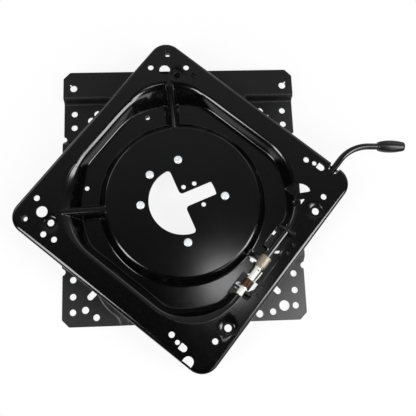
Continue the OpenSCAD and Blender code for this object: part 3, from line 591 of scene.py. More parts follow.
    def closed_mesh(self, name: str, blank: Array, triangles: Array, edge: Array, reach: Array,
                    starts: Array) -> bpy.types.Object:
        """Gives the sheet its thickness and its eased edges.

        Args:
            name: Name of the piece.
            blank: Points of the blank, those next to the cut lines first.
            triangles: Faces over them.
            edge: Points of the cut lines themselves.
            reach: How the sheet runs inwards at each of them.
            starts: Where each cut line's points begin.

        Returns:
            The piece.
        """
        top, up = self.top(blank), self.normal(blank)
        brink, brink_up = self.top(edge), self.normal(edge)
        out = -unit(reach - brink_up * (reach * brink_up).sum(1, keepdims=True))
        n, m, c, t = len(blank), len(edge), self.ease, self.thick
        rings, facing = [], []
        for angle in np.radians([30.0, 60.0, 90.0]):
            rings.append(brink - out * c * (1.0 - math.sin(angle)) - brink_up * c * (1.0 - math.cos(angle)))
            facing.append(brink_up * math.cos(angle) + out * math.sin(angle))
        for angle in np.radians([0.0, 30.0, 60.0]):
            rings.append(brink - out * c * (1.0 - math.cos(angle)) - brink_up * (t - c + c * math.sin(angle)))
            facing.append(out * math.cos(angle) - brink_up * math.sin(angle))
        vertices = np.concatenate([top, top - t * up, *rings])
        normals = np.concatenate([up, -up, *facing])
        faces = [tuple(f) for f in triangles.tolist()]
        faces += [tuple(f) for f in (triangles[:, ::-1] + n).tolist()]
        layers = [0] + [2 * n + m * i for i in range(len(rings))] + [n]
        for a, b in zip(starts[:-1], starts[1:]):
            here = np.arange(a, b)
            ahead = np.roll(here, -1)
            for upper, lower in zip(layers[:-1], layers[1:]):
                faces += list(zip(ahead + upper, here + upper, here + lower, ahead + lower))
        return new_object(name, self.placed(vertices) * MM, faces, unit(self.placed(normals)))

    def placed(self, vectors: Array) -> Array:
        """Vectors of the sheet's own axes in the part's frame."""
        return vectors

    def inner_points(self, lines: list[Array]) -> Array:
        """Points inside the blank: rows along the bends, and a loose grid elsewhere."""
        dense = np.concatenate([even(line, True, 0.6) for line in lines])
        rows = thinned(np.concatenate(self.bends()), 0.42)
        low, high = lines[0].min(0), lines[0].max(0)
        xs = np.arange(low[0], high[0], self.spacing)
        ys = np.arange(low[1], high[1], self.spacing * 0.87)
        grid = np.stack(np.meshgrid(xs, ys), -1)
        grid[1::2, :, 0] += self.spacing / 2.0
        grid = far_from(grid.reshape(-1, 2), rows, self.spacing * 0.45)
        points = []
        for group, gap in ((rows, 0.7), (grid, 2.2)):
            keep = inside_line(group, lines[0])
            for line in lines[1:]:
                keep &= ~inside_line(group, line)
            points.append(far_from(group[keep], dense, gap))
        return np.concatenate(points)


def circle_line(x: float, y: float, r: float, count: int = 48) -> Array:
    """A full circle as a closed line."""
    return arc(x, y, r, 0.0, 360.0, count + 1)[:-1]


def capsule_line(x1: float, y1: float, x2: float, y2: float, w: float) -> Array:
    """A slot with round ends as a closed line."""
    a = math.degrees(math.atan2(y2 - y1, x2 - x1))
    return np.concatenate([arc(x2, y2, w / 2.0, a - 90.0, a + 90.0),
                           arc(x1, y1, w / 2.0, a + 90.0, a + 270.0)])


class Plate(PressedSheet):
    """A flat plate with eased edges, lying or standing in the seat's axes."""

    def __init__(self, outline: Any, holes: Sequence[Array], level: float, standing: str = "",
                 thick: float = 3.0) -> None:
        """Takes the plate's cut lines and its place.

        Args:
            outline: Corners of the outline, as (u, v), or as (v, z) or (u, z) for a standing plate.
            holes: Lines of the holes.
            level: Height of its upper face, or where its far face stands.
            standing: The axis it stands across, or nothing for a lying plate.
            thick: Thickness.
        """
        self.lines = softened(np.asarray(outline, float), 0.5, 0.15), list(holes)
        self.level, self.standing, self.thick = level, standing, thick

    def top(self, q: Array) -> Array:
        """Places of the points on the plate's upper face."""
        return np.concatenate([q, np.full((len(q), 1), self.level)], 1)

    def bends(self) -> list[Array]:
        """One point in the middle, because a flat plate has no bends."""
        return [self.lines[0].mean(0)[None]]

    def cuts(self) -> tuple[Array, list[Array]]:
        """The outline and the holes."""
        return self.lines

    def placed(self, vectors: Array) -> Array:
        """Vectors of the plate in the part's frame."""
        order = {"": [0, 1, 2], "u": [2, 0, 1], "v": [0, 2, 1]}[self.standing]
        seat = vectors[:, order]
        return np.concatenate([turned(seat[:, :2], SEAT_TURN), seat[:, 2:]], 1)


@dataclass
class BasePlate(PressedSheet):
    """The lower plate: four pads, a raised field, a strip along the back, a latch step and a bearing dome."""

    half_w: float = 180.0
    front: float = 174.0
    back: float = 217.0
    chamfer: float = 10.5
    rise: float = 14.0
    run: float = 8.0
    strip_from: float = 170.5
    strip_run: float = 2.5
    field_size: tuple[float, float, float] = (129.0, 165.0, 57.0)
    arms: tuple[float, float] = (-90.0, 108.0)
    channel: float = 93.0
    corner_k: float = 14.0
    latch: tuple[float, float, float, float] = (122.5, 1.5, 11.0, 2.2)
    dome: tuple[float, float, float, float] = (107.0, 4.5, 16.0, 4.0)
    dome_hole: float = 75.0

    def raised(self, q: Array) -> Array:
        """Height of the raised field and the strip over the corner pads."""
        x, y, r = self.field_size
        inside = -box_distance(q, x, y, r)
        inside = soft_max(inside, np.minimum(q[:, 1] - self.arms[0], self.arms[1] - q[:, 1]), self.corner_k)
        inside = soft_max(inside, self.channel - np.abs(q[:, 0]), self.corner_k)
        middle = ramp(inside, self.run, self.rise, 5.0, 6.0)
        strip = ramp(q[:, 1] - self.strip_from, self.strip_run, self.rise, 4.5, 5.0)
        return join_heights(middle, strip, self.rise, 9.0)

    def round_step(self, q: Array, sizes: tuple[float, float, float, float]) -> Array:
        """Height of a round step over the raised field."""
        foot_r, run, high, bend = sizes
        return ramp(foot_r - np.linalg.norm(q, axis=1), run, high, bend, bend + 0.6)

    def top(self, q: Array) -> Array:
        """Places of blank points on the plate's upper face."""
        z = self.thick + self.raised(q) + self.round_step(q, self.latch) + self.round_step(q, self.dome)
        return np.concatenate([q, z[:, None]], 1)

    def bends(self) -> list[Array]:
        """Points in rows along the pressed walls."""
        whole = (-self.half_w - 4, -self.front - 4, self.half_w + 4, self.back + 4)
        middle = (-130.0, -130.0, 130.0, 130.0)
        found = [self.rows(self.raised, self.rise, 5.0, 6.0, whole)]
        for sizes in (self.latch, self.dome):
            found.append(self.rows(lambda p, s=sizes: self.round_step(p, s), sizes[2], sizes[3],
                                   sizes[3] + 0.6, middle, 4))
        return found

    def outline(self) -> Array:
        """The plate's outline, with its cut corners and relief notches."""
        w, f, b, c, r = self.half_w, self.front, self.back, self.chamfer, 4.6
        right = [[w - c, -f], [w, -f + c], *arc(w, -94.0, r, 270.0, 90.0), *arc(w, 111.0, r, 270.0, 90.0),
                 [w, b - c], [w - c, b]]
        left = [[-x, y] for x, y in right[::-1]]
        return softened(np.array(right + left), 0.9)

    def windows(self) -> list[Array]:
        """The four large openings round the latch step."""
        found = []
        for s in (1, -1):
            a = np.radians(np.linspace(-76.0, -12.0, 90))
            wide = np.minimum(172.0 / np.cos(a), 78.0 / np.abs(np.sin(a)))
            deep = np.minimum(117.0 / np.cos(a), 155.0 / np.abs(np.sin(a)))
            r = np.minimum(164.0, np.maximum(wide, deep))
            outer = np.stack([s * r * np.cos(a), r * np.sin(a)], 1)
            inner = np.stack([s * 124.9 * np.cos(a), 124.9 * np.sin(a)], 1)
            found.append(softened(np.concatenate([outer, inner[::-1]]), 3.0))
            first, last = (12.0, 78.0) if s > 0 else (102.0, 172.0)
            ring = np.concatenate([arc(0, 0, 149.0, first, last, 90), arc(0, 0, 124.9, last, first, 90)])
            found.append(softened(ring, 3.0))
        return found

    def notches(self) -> list[Array]:
        """The four notches of the latch step that the finger drops into."""
        foot_r = 121.9
        near = math.degrees(math.asin(11.0 / foot_r)), math.degrees(math.asin(5.0 / foot_r))
        shape = np.concatenate([[[-5.0, -112.5], [11.0, -112.5]][::-1],
                                arc(0, 0, foot_r, 270 - near[1], 270 + near[0], 20)])
        return [softened(turned(shape, math.radians(a)), 0.5, 0.1) for a in (0, 90, 180, 270)]

    def cuts(self) -> tuple[Array, list[Array]]:
        """The outline and every hole of the plate."""
        holes = [circle_line(0, 0, self.dome_hole, 120), *self.windows(), *self.notches()]
        holes += [circle_line(-146.0, -150.1, 5.2), circle_line(147.2, -152.7, 7.75),
                  circle_line(109.7, -163.6, 5.4)]
        for s in (1, -1):
            holes += [circle_line(s * 164.2, y, 4.75) for y in (153.0, 130.5, -105.7, -130.5, -153.0)]
            holes += [circle_line(s * 128.1, 152.8, 5.5), circle_line(s * 137.9, 142.0, 5.5),
                      circle_line(s * 129.9, -161.1, 4.8)]
            a = math.radians(90.0 + s * 45.0)
            holes.append(capsule_line(s * 138.9, -131.3, s * 138.9 + 10 * math.cos(a),
                                      -131.3 + 10 * math.sin(a), 9.0))
            nick = 90.0 - s * 40.0
            tongue = turned(np.array([[9.0, -0.9], [9.0, 0.9]]), math.radians(nick)) + [s * 164.0, 190.2]
            hole = arc(s * 164.0, 190.2, 5.4, nick + 9.6, nick + 350.4, 48)
            holes.append(softened(np.concatenate([hole, tongue]), 0.35, 0.15))
        return self.outline(), holes


@dataclass
class SeatPlate(PressedSheet):
    """The upper plate: a square rim with a turned down edge, a deep recess, a raised disc and two ridges."""

    half_w: float = 180.0
    corner_r: float = 26.0
    rim_z: float = 62.0
    edge_low: float = 42.0
    bend_r: float = 6.0
    rod_way: tuple[float, float] = (8.8, 7.7)
    floor_z: float = 34.0
    disc_z: float = 50.0
    low_r: float = 2.4
    top_r: float = 3.5
    wall_low_r: float = 3.0
    roll_r: tuple[float, float] = (9.0, 6.0)
    disc_foot: float = 121.3
    disc_run: float = 8.5
    disc_r: tuple[float, float] = (4.0, 5.0)
    ridge_top: float = 9.6
    ridge_slant: float = 0.24
    shaft_y: float = -145.0
    shaft_z: float = 53.0

    def rim_distance(self, q: Array) -> Array:
        """Signed distance past the line where the edge starts to turn down."""
        half = self.half_w - self.bend_r
        return box_distance(q, half, half, self.corner_r - self.bend_r)

    def brim(self, q: Array) -> Array:
        """Signed distance past the top edge of the recess wall, whose four corners have their own radii."""
        p = q - [0.6, 3.8]
        right, back = p[:, 0] > 0.0, p[:, 1] > 0.0
        r = np.where(right, np.where(back, 79.0, 95.0), np.where(back, 95.0, 79.0))
        d = np.abs(p) - np.stack([142.1 - r, 145.5 - r], 1)
        return np.linalg.norm(np.maximum(d, 0.0), axis=1) + np.minimum(d.max(1), 0.0) - r

    def foot(self, q: Array) -> Array:
        """Signed distance past the foot of the recess wall, which leaves room for the lock at the front."""
        u, v = q[:, 0], q[:, 1]
        front = 134.0 + 7.0 * ease_step((60.5 - np.abs(u)) / 6.0)
        corner = ease_step((np.cos(np.arctan2(v, u) - math.radians(135.0)) - 0.85) / 0.1)
        past = np.linalg.norm(q, axis=1) - 154.5 + 6.5 * corner
        for side in (u - 141.5, -u - 133.5, v - 148.0, -v - front):
            past = soft_max(past, side, 5.0)
        return past

    def wall(self, q: Array) -> Array:
        """Height of the recess wall over the ring floor, with a broad bend into the rim."""
        past = self.foot(q)
        run = np.maximum(past - self.brim(q), 1.2)
        roll = self.roll_r[0] + (self.roll_r[1] - self.roll_r[0]) * ease_step((q[:, 0] - 80.0) / 45.0)
        roll = roll + 1.1 * np.maximum(run - 8.0, 0.0)
        return ramp(past, run, self.rim_z - self.floor_z, self.wall_low_r, roll)

    def disc(self, q: Array) -> Array:
        """Height of the disc over the ring floor."""
        inside = self.disc_foot - np.linalg.norm(q, axis=1)
        return ramp(inside, self.disc_run, self.disc_z - self.floor_z, *self.disc_r)

    def ridge(self, q: Array, angle: float) -> Array:
        """Height over the ring floor of a ridge that climbs from the disc to the rim."""
        low, high = self.disc_z - self.floor_z, self.rim_z - self.floor_z
        way = turned(q, -math.radians(angle))
        climb = low + (high - low) * np.clip((way[:, 0] - 112.0) / 62.0, 0.0, 1.0)
        run = self.ridge_slant * climb
        inside = np.where(way[:, 0] > 60.0, self.ridge_top / 2.0 + run - np.abs(way[:, 1]), -50.0)
        return ramp(inside, run, climb, self.low_r, self.top_r)

    def pad(self, q: Array) -> Array:
        """Height of the disc and the two ridges over the ring floor."""
        height = self.disc(q)
        for angle in self.ridges():
            height = join_heights(height, self.ridge(q, angle), self.disc_z - self.floor_z, 6.0)
        return height

    @staticmethod
    def ridges() -> tuple[float, float]:
        """Directions of the ridges, in degrees."""
        return 45.0, 135.0

    @staticmethod
    def by_ridge(q: Array, angle: float, room: float) -> Array:
        """Which points lie on or next to a ridge."""
        way = turned(q, -math.radians(angle))
        return (np.abs(way[:, 0] - 144.0) < 39.0 - room) & (np.abs(way[:, 1]) < 16.5 - room)

    def rings(self, q: Array) -> Array:
        """Depth of the shallow pressed rings round some holes."""
        depth = np.zeros(len(q))
        for x, y in self.ringed():
            depth += 0.45 * ease_step((10.0 - np.hypot(q[:, 0] - x, q[:, 1] - y)) / 1.6)
        return depth

    @staticmethod
    def ringed() -> list[tuple[float, float]]:
        """Centres of the holes with a pressed ring."""
        return [(s * x, y) for s in (1, -1) for x, y in ((143.4, 124.5), (104.3, -160.6))]

    def top(self, q: Array) -> Array:
        """Places of blank points on the plate's upper face, with the edge bent down past the rim."""
        past = self.rim_distance(q)
        over = np.maximum(past, 0.0)
        h = 0.01
        gx = self.rim_distance(q + [h, 0.0]) - self.rim_distance(q - [h, 0.0])
        gy = self.rim_distance(q + [0.0, h]) - self.rim_distance(q - [0.0, h])
        away = unit(np.stack([gx, gy], 1))
        foot = q - away * over[:, None]
        angle = np.minimum(over / self.bend_r, math.pi / 2.0)
        height = join_heights(self.wall(foot), self.pad(foot), self.rim_z - self.floor_z, 4.0)
        z = self.floor_z + height - self.rings(foot)
        z -= self.bend_r * (1.0 - np.cos(angle)) + np.maximum(over - self.bend_r * math.pi / 2.0, 0.0)
        plan = foot + away * (self.bend_r * np.sin(angle))[:, None]
        return np.concatenate([plan, z[:, None]], 1)

    def bends(self) -> list[Array]:
        """Points in rows along the walls, the rings and the turned edge."""
        full, pad = self.rim_z - self.floor_z, self.disc_z - self.floor_z
        box = (-165.0, -165.0, 165.0, 165.0)
        found = [self.rows(self.wall, full, self.wall_low_r, self.roll_r[0], box, 7),
                 self.rows(self.disc, pad, *self.disc_r, box)]
        for angle in self.ridges():
            found = [p[~self.by_ridge(p, angle, 0.0)] for p in found]
            along, off = np.meshgrid(np.arange(104.0, 184.0, 0.95), np.arange(-17.0, 17.1, 0.85))
            along[1::2] += 0.47
            close = turned(np.stack([along.ravel(), off.ravel()], 1), math.radians(angle))
            found.append(close[self.by_ridge(close, angle, -0.4)])
        for x, y in self.ringed():
            found += [circle_line(x, y, r, 40) for r in (8.1, 8.6, 9.2, 9.8, 10.2)]
        half = self.half_w + 2.0
        line, closed = trace(self.rim_distance, (-half, -half, half, half))[0]
        line = self.laid(line, closed, 4.0, 6.0)
        away = unit(slope(self.rim_distance, line))
        turn = self.bend_r * math.pi / 2.0
        for past in (-3.0, -0.6, *np.linspace(0.2, turn - 0.2, 7), turn + 0.6, turn + 4.0, turn + 9.0):
            found.append(line + away * past)
        return found

    def moon(self) -> Array:
        """The half moon opening with its tab."""
        w, r, c = 10.15, 50.0, 4.6
        y = math.sqrt((r - c) ** 2 - c * c)
        meet = 90.0 + math.degrees(math.asin(c / (r - c)))
        end = math.degrees(math.asin(w / r))
        line = np.concatenate([
            arc(-c, y, c, 0.0, meet), arc(0, 0, r, meet, 360.0 - meet, 90),
            arc(-c, -y, c, 360.0 - meet, 360.0),
            arc(5.0, -w - 5.0, 5.0, 180.0, 90.0), arc(0, 0, r, -end, end),
            arc(5.0, w + 5.0, 5.0, 270.0, 180.0)])
        return softened(turned(line, math.radians(-28.2)), 1.1)

    def rod_gap(self) -> Array:
        """Where the rod's clearance hole meets the recess wall, from the rim side to the floor side."""
        found = []
        for angle in np.radians(np.linspace(91.7, -36.0, 16)):
            v = self.shaft_y + self.rod_way[0] * math.cos(angle)
            z = self.shaft_z + self.rod_way[1] * math.sin(angle)
            low, high = 61.0, 140.0
            line = np.stack([np.linspace(low, high, 400), np.full(400, v)], 1)
            high_enough = np.flatnonzero(self.top(line)[:, 2] >= z)
            u = line[high_enough[0], 0] if len(high_enough) else high
            found.append([max(u, 61.5), v])
        return np.array(found)

    def lock_cut(self) -> list[Array]:
        """The lock's cut-out and the two openings beside it."""
        low = [[-59, -157], [-57, -159.5], [-24, -161.5], [14, -160.5], [24, -158.5], [61, -157],
               [61, -150.0]]
        high = [[61, -137.6], [61, -131.2], [28.5, -131.0], [23.5, -139.8], [7.8, -140.4], [7.8, -119.6],
                [-2.8, -119.6], [-2.8, -128.5], [-6.4, -128.5], [-6.4, -134.8], [-2.8, -134.8],
                [-2.8, -138.6],
                [-10, -139.8], [-21, -139.8], [-26, -137.0], [-27.5, -131.5],
                [-59, -131.2]]
        shape = np.concatenate([np.array(low), self.rod_gap(), np.array(high)])
        right = np.array([[112, -105], [121, -114], [126.3, -121.8], [128, -129], [127, -134.5],
                          [123.8, -137.5],
                          [105, -120.5]], float)
        small = np.array([[97, -125.5], [103.5, -132.5], [110.5, -138], [99, -138], [90, -133.5]], float)
        return [softened(shape, 1.0), softened(right, 1.5), softened(small, 1.5)]

    def cuts(self) -> tuple[Array, list[Array]]:
        """The blank's outline and every hole of the plate."""
        turn = self.bend_r * math.pi / 2.0
        down = self.rim_z - self.bend_r - self.edge_low
        half, r = self.half_w - self.bend_r + turn + down, self.corner_r - self.bend_r + turn + down
        c = half - r
        outline = np.concatenate([arc(c, c, r, 0, 90), arc(-c, c, r, 90, 180), arc(-c, -c, r, 180, 270),
                                  arc(c, -c, r, 270, 360)])
        holes = [self.moon(), *self.lock_cut()]
        small = turned(np.array([[9.0, 18.3], [25.5, 17.0], [25.5, -17.0]]), math.radians(-28.2))
        holes += [circle_line(x, y, 3.3) for x, y in small]
        holes += [circle_line(61.8 * math.cos(a), 61.8 * math.sin(a), 4.0)
                  for a in np.radians([45, 90, 135, 225, 315])]
        low_end = self.half_w - self.bend_r + turn + (self.rim_z - self.bend_r - self.shaft_z)
        for s in (1, -1):
            holes += [circle_line(s * x, y, 4.2) for x, y in (
                (128.6, 163.4), (162.2, 122.1), (158.6, 105.5), (158.8, -105.1), (129.3, -157.5))]
            holes += [circle_line(s * x, y, r) for x, y, r in (
                (139.0, 144.9, 8.0), (162.0, 157.9, 5.0), (143.4, 124.5, 4.8), (161.9, -117.6, 3.3),
                (104.3, -160.6, 5.1), (70.8, 123.9, 3.35), (45.0, -165.2, 2.5), (30.5, -165.2, 2.5))]
            end = np.concatenate([arc(s * 163.0, -129.3, 4.75, 180.0, 360.0),
                                  [[s * 163 + 4.75, -122.8], [s * 163 - 4.75, -122.8]]])
            holes.append(softened(end, 0.45))
            holes.append(capsule_line(s * 173.2, self.shaft_y, s * low_end, self.shaft_y, 15.0))
        return outline, holes

    def placed(self, vectors: Array) -> Array:
        """Vectors of the seat's own axes in the part's frame."""
        plan = turned(vectors[:, :2], SEAT_TURN)
        return np.concatenate([plan, vectors[:, 2:]], 1)


# Finishes


class Sum:
    """A number socket that can be used in Python sums, each of which adds its Math node."""

    def __init__(self, tree: bpy.types.NodeTree, socket: bpy.types.NodeSocket) -> None:
        """Wraps a socket of a node tree."""
        self.tree, self.socket = tree, socket

    def _math(self, operation: str, a: Any, b: Any = None) -> "Sum":
        """Adds a Math node for two values or sockets."""
        node = self.tree.nodes.new("ShaderNodeMath")
        node.operation = operation
        for place, value in zip(node.inputs, (a, b)):
            if isinstance(value, Sum):
                self.tree.links.new(value.socket, place)
            elif value is not None:
                place.default_value = value
        return Sum(self.tree, node.outputs[0])

    def __add__(self, other: Any) -> "Sum":
        """self + other"""
        return self._math("ADD", self, other)

    def __radd__(self, other: Any) -> "Sum":
        """other + self"""
        return self._math("ADD", other, self)

    def __sub__(self, other: Any) -> "Sum":
        """self - other"""
        return self._math("SUBTRACT", self, other)

    def __rsub__(self, other: Any) -> "Sum":
        """other - self"""
        return self._math("SUBTRACT", other, self)

    def __mul__(self, other: Any) -> "Sum":
        """self * other"""
        return self._math("MULTIPLY", self, other)

    def __rmul__(self, other: Any) -> "Sum":
        """other * self"""
        return self._math("MULTIPLY", other, self)

    def __pow__(self, other: Any) -> "Sum":
        """self ** other"""
        return self._math("POWER", self, other)

    def clipped(self) -> "Sum":
        """Kept between 0 and 1."""
        return self._math("MINIMUM", self._math("MAXIMUM", self, 0.0), 1.0)

    def above(self, low: float, high: float) -> "Sum":
        """0 below low and 1 above high, with a straight rise between."""
        return ((self - low) * (1.0 / (high - low))).clipped()


class Tree:
    """Ways of adding nodes and links that every node tree here shares."""

    tree: bpy.types.NodeTree

    def node(self, kind: str, settings: dict[str, Any] | None = None, **sockets: Any) -> bpy.types.Node:
        """Adds a node.

        Args:
            kind: The node's type.
            settings: Its own settings, set before its sockets.
            sockets: Values or links for its inputs, with spaces written as underscores.

        Returns:
            The node.
        """
        made = self.tree.nodes.new(kind)
        for key, value in (settings or {}).items():
            setattr(made, key, value)
        for key, value in sockets.items():
            self.feed(made.inputs[key.replace("_", " ")], value)
        return made

    def feed(self, socket: bpy.types.NodeSocket, value: Any) -> None:
        """Sets a socket to a value, or links it."""
        if isinstance(value, Sum):
            self.tree.links.new(value.socket, socket)
        elif isinstance(value, bpy.types.NodeSocket):
            self.tree.links.new(value, socket)
        else:
            socket.default_value = value


class ShapeTree(Tree):
    """A Geometry Nodes tree with named inputs, whose result is handed over as a plain mesh."""

    def __init__(self, name: str, **inputs: Any) -> None:
        """Starts a tree with its inputs.

        Args:
            name: Name of the tree.
            inputs: The value of each input.
        """
        self.tree = bpy.data.node_groups.new(name, "GeometryNodeTree")
        self.values = inputs
        kinds = {float: "Float", int: "Int", bpy.types.Object: "Object", bpy.types.Material: "Material"}
        self.tree.interface.new_socket("Geometry", in_out="INPUT", socket_type="NodeSocketGeometry")
        for key, value in inputs.items():
            self.tree.interface.new_socket(key, in_out="INPUT", socket_type="NodeSocket" + kinds[type(value)])
        self.tree.interface.new_socket("Geometry", in_out="OUTPUT", socket_type="NodeSocketGeometry")
        self.given = self.node("NodeGroupInput").outputs

    def end(self, shape: bpy.types.NodeSocket) -> "ShapeTree":
        """Realizes instances, sets the material and closes the tree."""
        real = self.node("GeometryNodeRealizeInstances", Geometry=shape).outputs[0]
        done = self.node("GeometryNodeSetMaterial", Geometry=real, Material=self.given["Material"]).outputs[0]
        self.node("NodeGroupOutput", Geometry=done)
        return self

    def made(self, name: str, points: Array, edges: Sequence[tuple[int, int]] = ()) -> bpy.types.Object:
        """Runs the tree on points.

        Args:
            name: Name of the piece.
            points: Places in metres.
            edges: Lines between them.

        Returns:
            The result as a plain piece.
        """
        path = bpy.data.meshes.new(name + "_path")
        path.from_pydata(points.tolist(), list(edges), [])
        carrier = bpy.data.objects.new(name + "_path", path)
        bpy.context.scene.collection.objects.link(carrier)
        modifier = carrier.modifiers.new("shape", "NODES")
        modifier.node_group = self.tree
        for item in self.tree.interface.items_tree:
            if item.name in self.values:
                modifier[item.identifier] = self.values[item.name]
        graph = bpy.context.evaluated_depsgraph_get()
        plain = bpy.data.meshes.new_from_object(carrier.evaluated_get(graph))
        carrier.modifiers.remove(modifier)
        bpy.data.objects.remove(carrier)
        bpy.data.meshes.remove(path)
        piece = bpy.data.objects.new(name, plain)
        bpy.context.scene.collection.objects.link(piece)
        return eased(piece)


class Shader(Tree):
    """A material's node tree under construction."""

    def __init__(self, name: str) -> None:
        """Starts a material with a Principled shader."""
        self.material = bpy.data.materials.new(name)
        self.material.use_nodes = True
        self.tree = self.material.node_tree
        self.tree.nodes.clear()
        self.principled = self.tree.nodes.new("ShaderNodeBsdfPrincipled")
        output = self.tree.nodes.new("ShaderNodeOutputMaterial")
        self.tree.links.new(self.principled.outputs[0], output.inputs[0])
        self.place = self.node("ShaderNodeTexCoord").outputs["Object"]

    def noise(self, size: float, detail: float = 2.0, stretch: tuple[float, float, float] = (1, 1, 1)) -> Sum:
        """Noise between 0 and 1.

        Args:
            size: Width of its patches in millimetres.
            detail: How much finer structure it has.
            stretch: How many times as wide the patches are along each axis.

        Returns:
            The noise.
        """
        scale = tuple(1.0 / (size * MM * s) for s in stretch)
        vector = self.node("ShaderNodeMapping", Vector=self.place, Scale=scale).outputs[0]
        made = self.node("ShaderNodeTexNoise", Vector=vector, Scale=1.0, Detail=detail, Roughness=0.55)
        return Sum(self.tree, made.outputs["Fac"])

    def toward(self, way: tuple[float, float], start: float, end: float) -> Sum:
        """Rises from 0 to 1 between two distances from the middle, in metres, along a direction."""
        split = self.node("ShaderNodeSeparateXYZ", Vector=self.place).outputs
        along = Sum(self.tree, split[0]) * way[0] + Sum(self.tree, split[1]) * way[1]
        return along.above(start, end)

    def mixed(self, factor: Any, a: Any, b: Any) -> bpy.types.NodeSocket:
        """One of two colours, or a mixture of them."""
        made = self.tree.nodes.new("ShaderNodeMix")
        made.data_type = "RGBA"
        for socket, value in ((made.inputs[0], factor), (made.inputs[6], a), (made.inputs[7], b)):
            self.feed(socket, value)
        return made.outputs[2]

    def bumped(self, height: Sum, depth: float, strength: float = 1.0) -> bpy.types.NodeSocket:
        """A normal from a height between 0 and 1 that stands for a depth in millimetres."""
        made = self.node("ShaderNodeBump", Strength=strength, Distance=depth * MM, Height=height)
        return made.outputs[0]

    def finish(self, **sockets: Any) -> bpy.types.Material:
        """Feeds the Principled shader's sockets and hands over the material."""
        for key, value in sockets.items():
            self.feed(self.principled.inputs[key.replace("_", " ")], value)
        return self.material


def rgb(red: float, green: float, blue: float) -> tuple[float, float, float, float]:
    """A colour with full alpha."""
    return (red, green, blue, 1.0)


@dataclass(frozen=True)
class Coat:
    """A thin black coat on pressed steel: satin gloss, with a fine orange peel and a little dust in it.

    Attributes:
        tone: Brightness of the black.
        rough: Roughness where it is clean.
        peel: Depth of the orange peel in millimetres.
        painted_corner_light: Painted light: extra brightness mixed into the colour towards the front right
            corner.
        shine: Strength of its reflections.
    """

    name: str
    tone: float = 0.012
    rough: float = 0.3
    peel: float = 0.006
    painted_corner_light: float = 0.0
    shine: float = 0.5

    def material(self) -> bpy.types.Material:
        """Builds the material."""
        s = Shader(self.name)
        cloud, fine, peel = s.noise(60.0, 3.0), s.noise(1.1, 3.0), s.noise(2.6, 1.0)
        dust = s.noise(0.55, 0.0).above(0.72, 0.8)
        dark = rgb(self.tone * 0.85, self.tone * 0.87, self.tone * 0.95)
        light = rgb(self.tone * 1.2, self.tone * 1.2, self.tone * 1.22)
        colour = s.mixed(dust * 0.35, s.mixed(cloud, dark, light), rgb(0.05, 0.05, 0.05))
        rough = self.rough + (cloud - 0.5) * 0.08 + (fine - 0.5) * 0.05 + dust * 0.06
        # Painted light: the colour is mixed towards white towards the front right corner of the plate.
        if self.painted_corner_light:
            colour = s.mixed(s.toward((0.75, -0.66), 0.0, 0.27) * self.painted_corner_light, colour, rgb(1, 1, 1))
        normal = s.bumped(peel * 0.7 + fine * 0.3, self.peel)
        return s.finish(Base_Color=colour, Roughness=rough.clipped(), Normal=normal,
                        Specular_IOR_Level=self.shine)


@dataclass(frozen=True)
class Metal:
    """Bare, plated or drawn metal.

    Attributes:
        colour: Its colour.
        rough: Its roughness.
        grain: Size of its fine marks in millimetres.
        stain: Colour of what clouds it.
        cloudy: How much of it is clouded.
    """

    name: str
    colour: tuple[float, float, float]
    rough: float
    grain: float = 0.5
    stain: tuple[float, float, float] = (0.3, 0.3, 0.3)
    cloudy: float = 0.3
    metallic: float = 1.0

    def material(self) -> bpy.types.Material:
        """Builds the material."""
        s = Shader(self.name)
        cloud, marks = s.noise(3.5, 3.0), s.noise(self.grain, 2.0)
        colour = s.mixed(cloud.above(0.35, 0.8) * self.cloudy, rgb(*self.colour), rgb(*self.stain))
        rough = self.rough + (cloud - 0.5) * 0.12 + (marks - 0.5) * 0.1
        normal = s.bumped(marks, 0.01)
        return s.finish(Base_Color=colour, Roughness=rough.clipped(), Normal=normal, Metallic=self.metallic)


@dataclass(frozen=True)
class Moulded:
    """Moulded plastic or rubber."""

    name: str
    colour: tuple[float, float, float]
    rough: float

    def material(self) -> bpy.types.Material:
        """Builds the material."""
        s = Shader(self.name)
        cloud, grain = s.noise(8.0, 2.0), s.noise(0.35, 1.0)
        dark = rgb(*(0.85 * c for c in self.colour))
        rough = self.rough + (cloud - 0.5) * 0.1
        return s.finish(Base_Color=s.mixed(cloud, dark, rgb(*self.colour)), Roughness=rough.clipped(),
                        Normal=s.bumped(grain, 0.015))


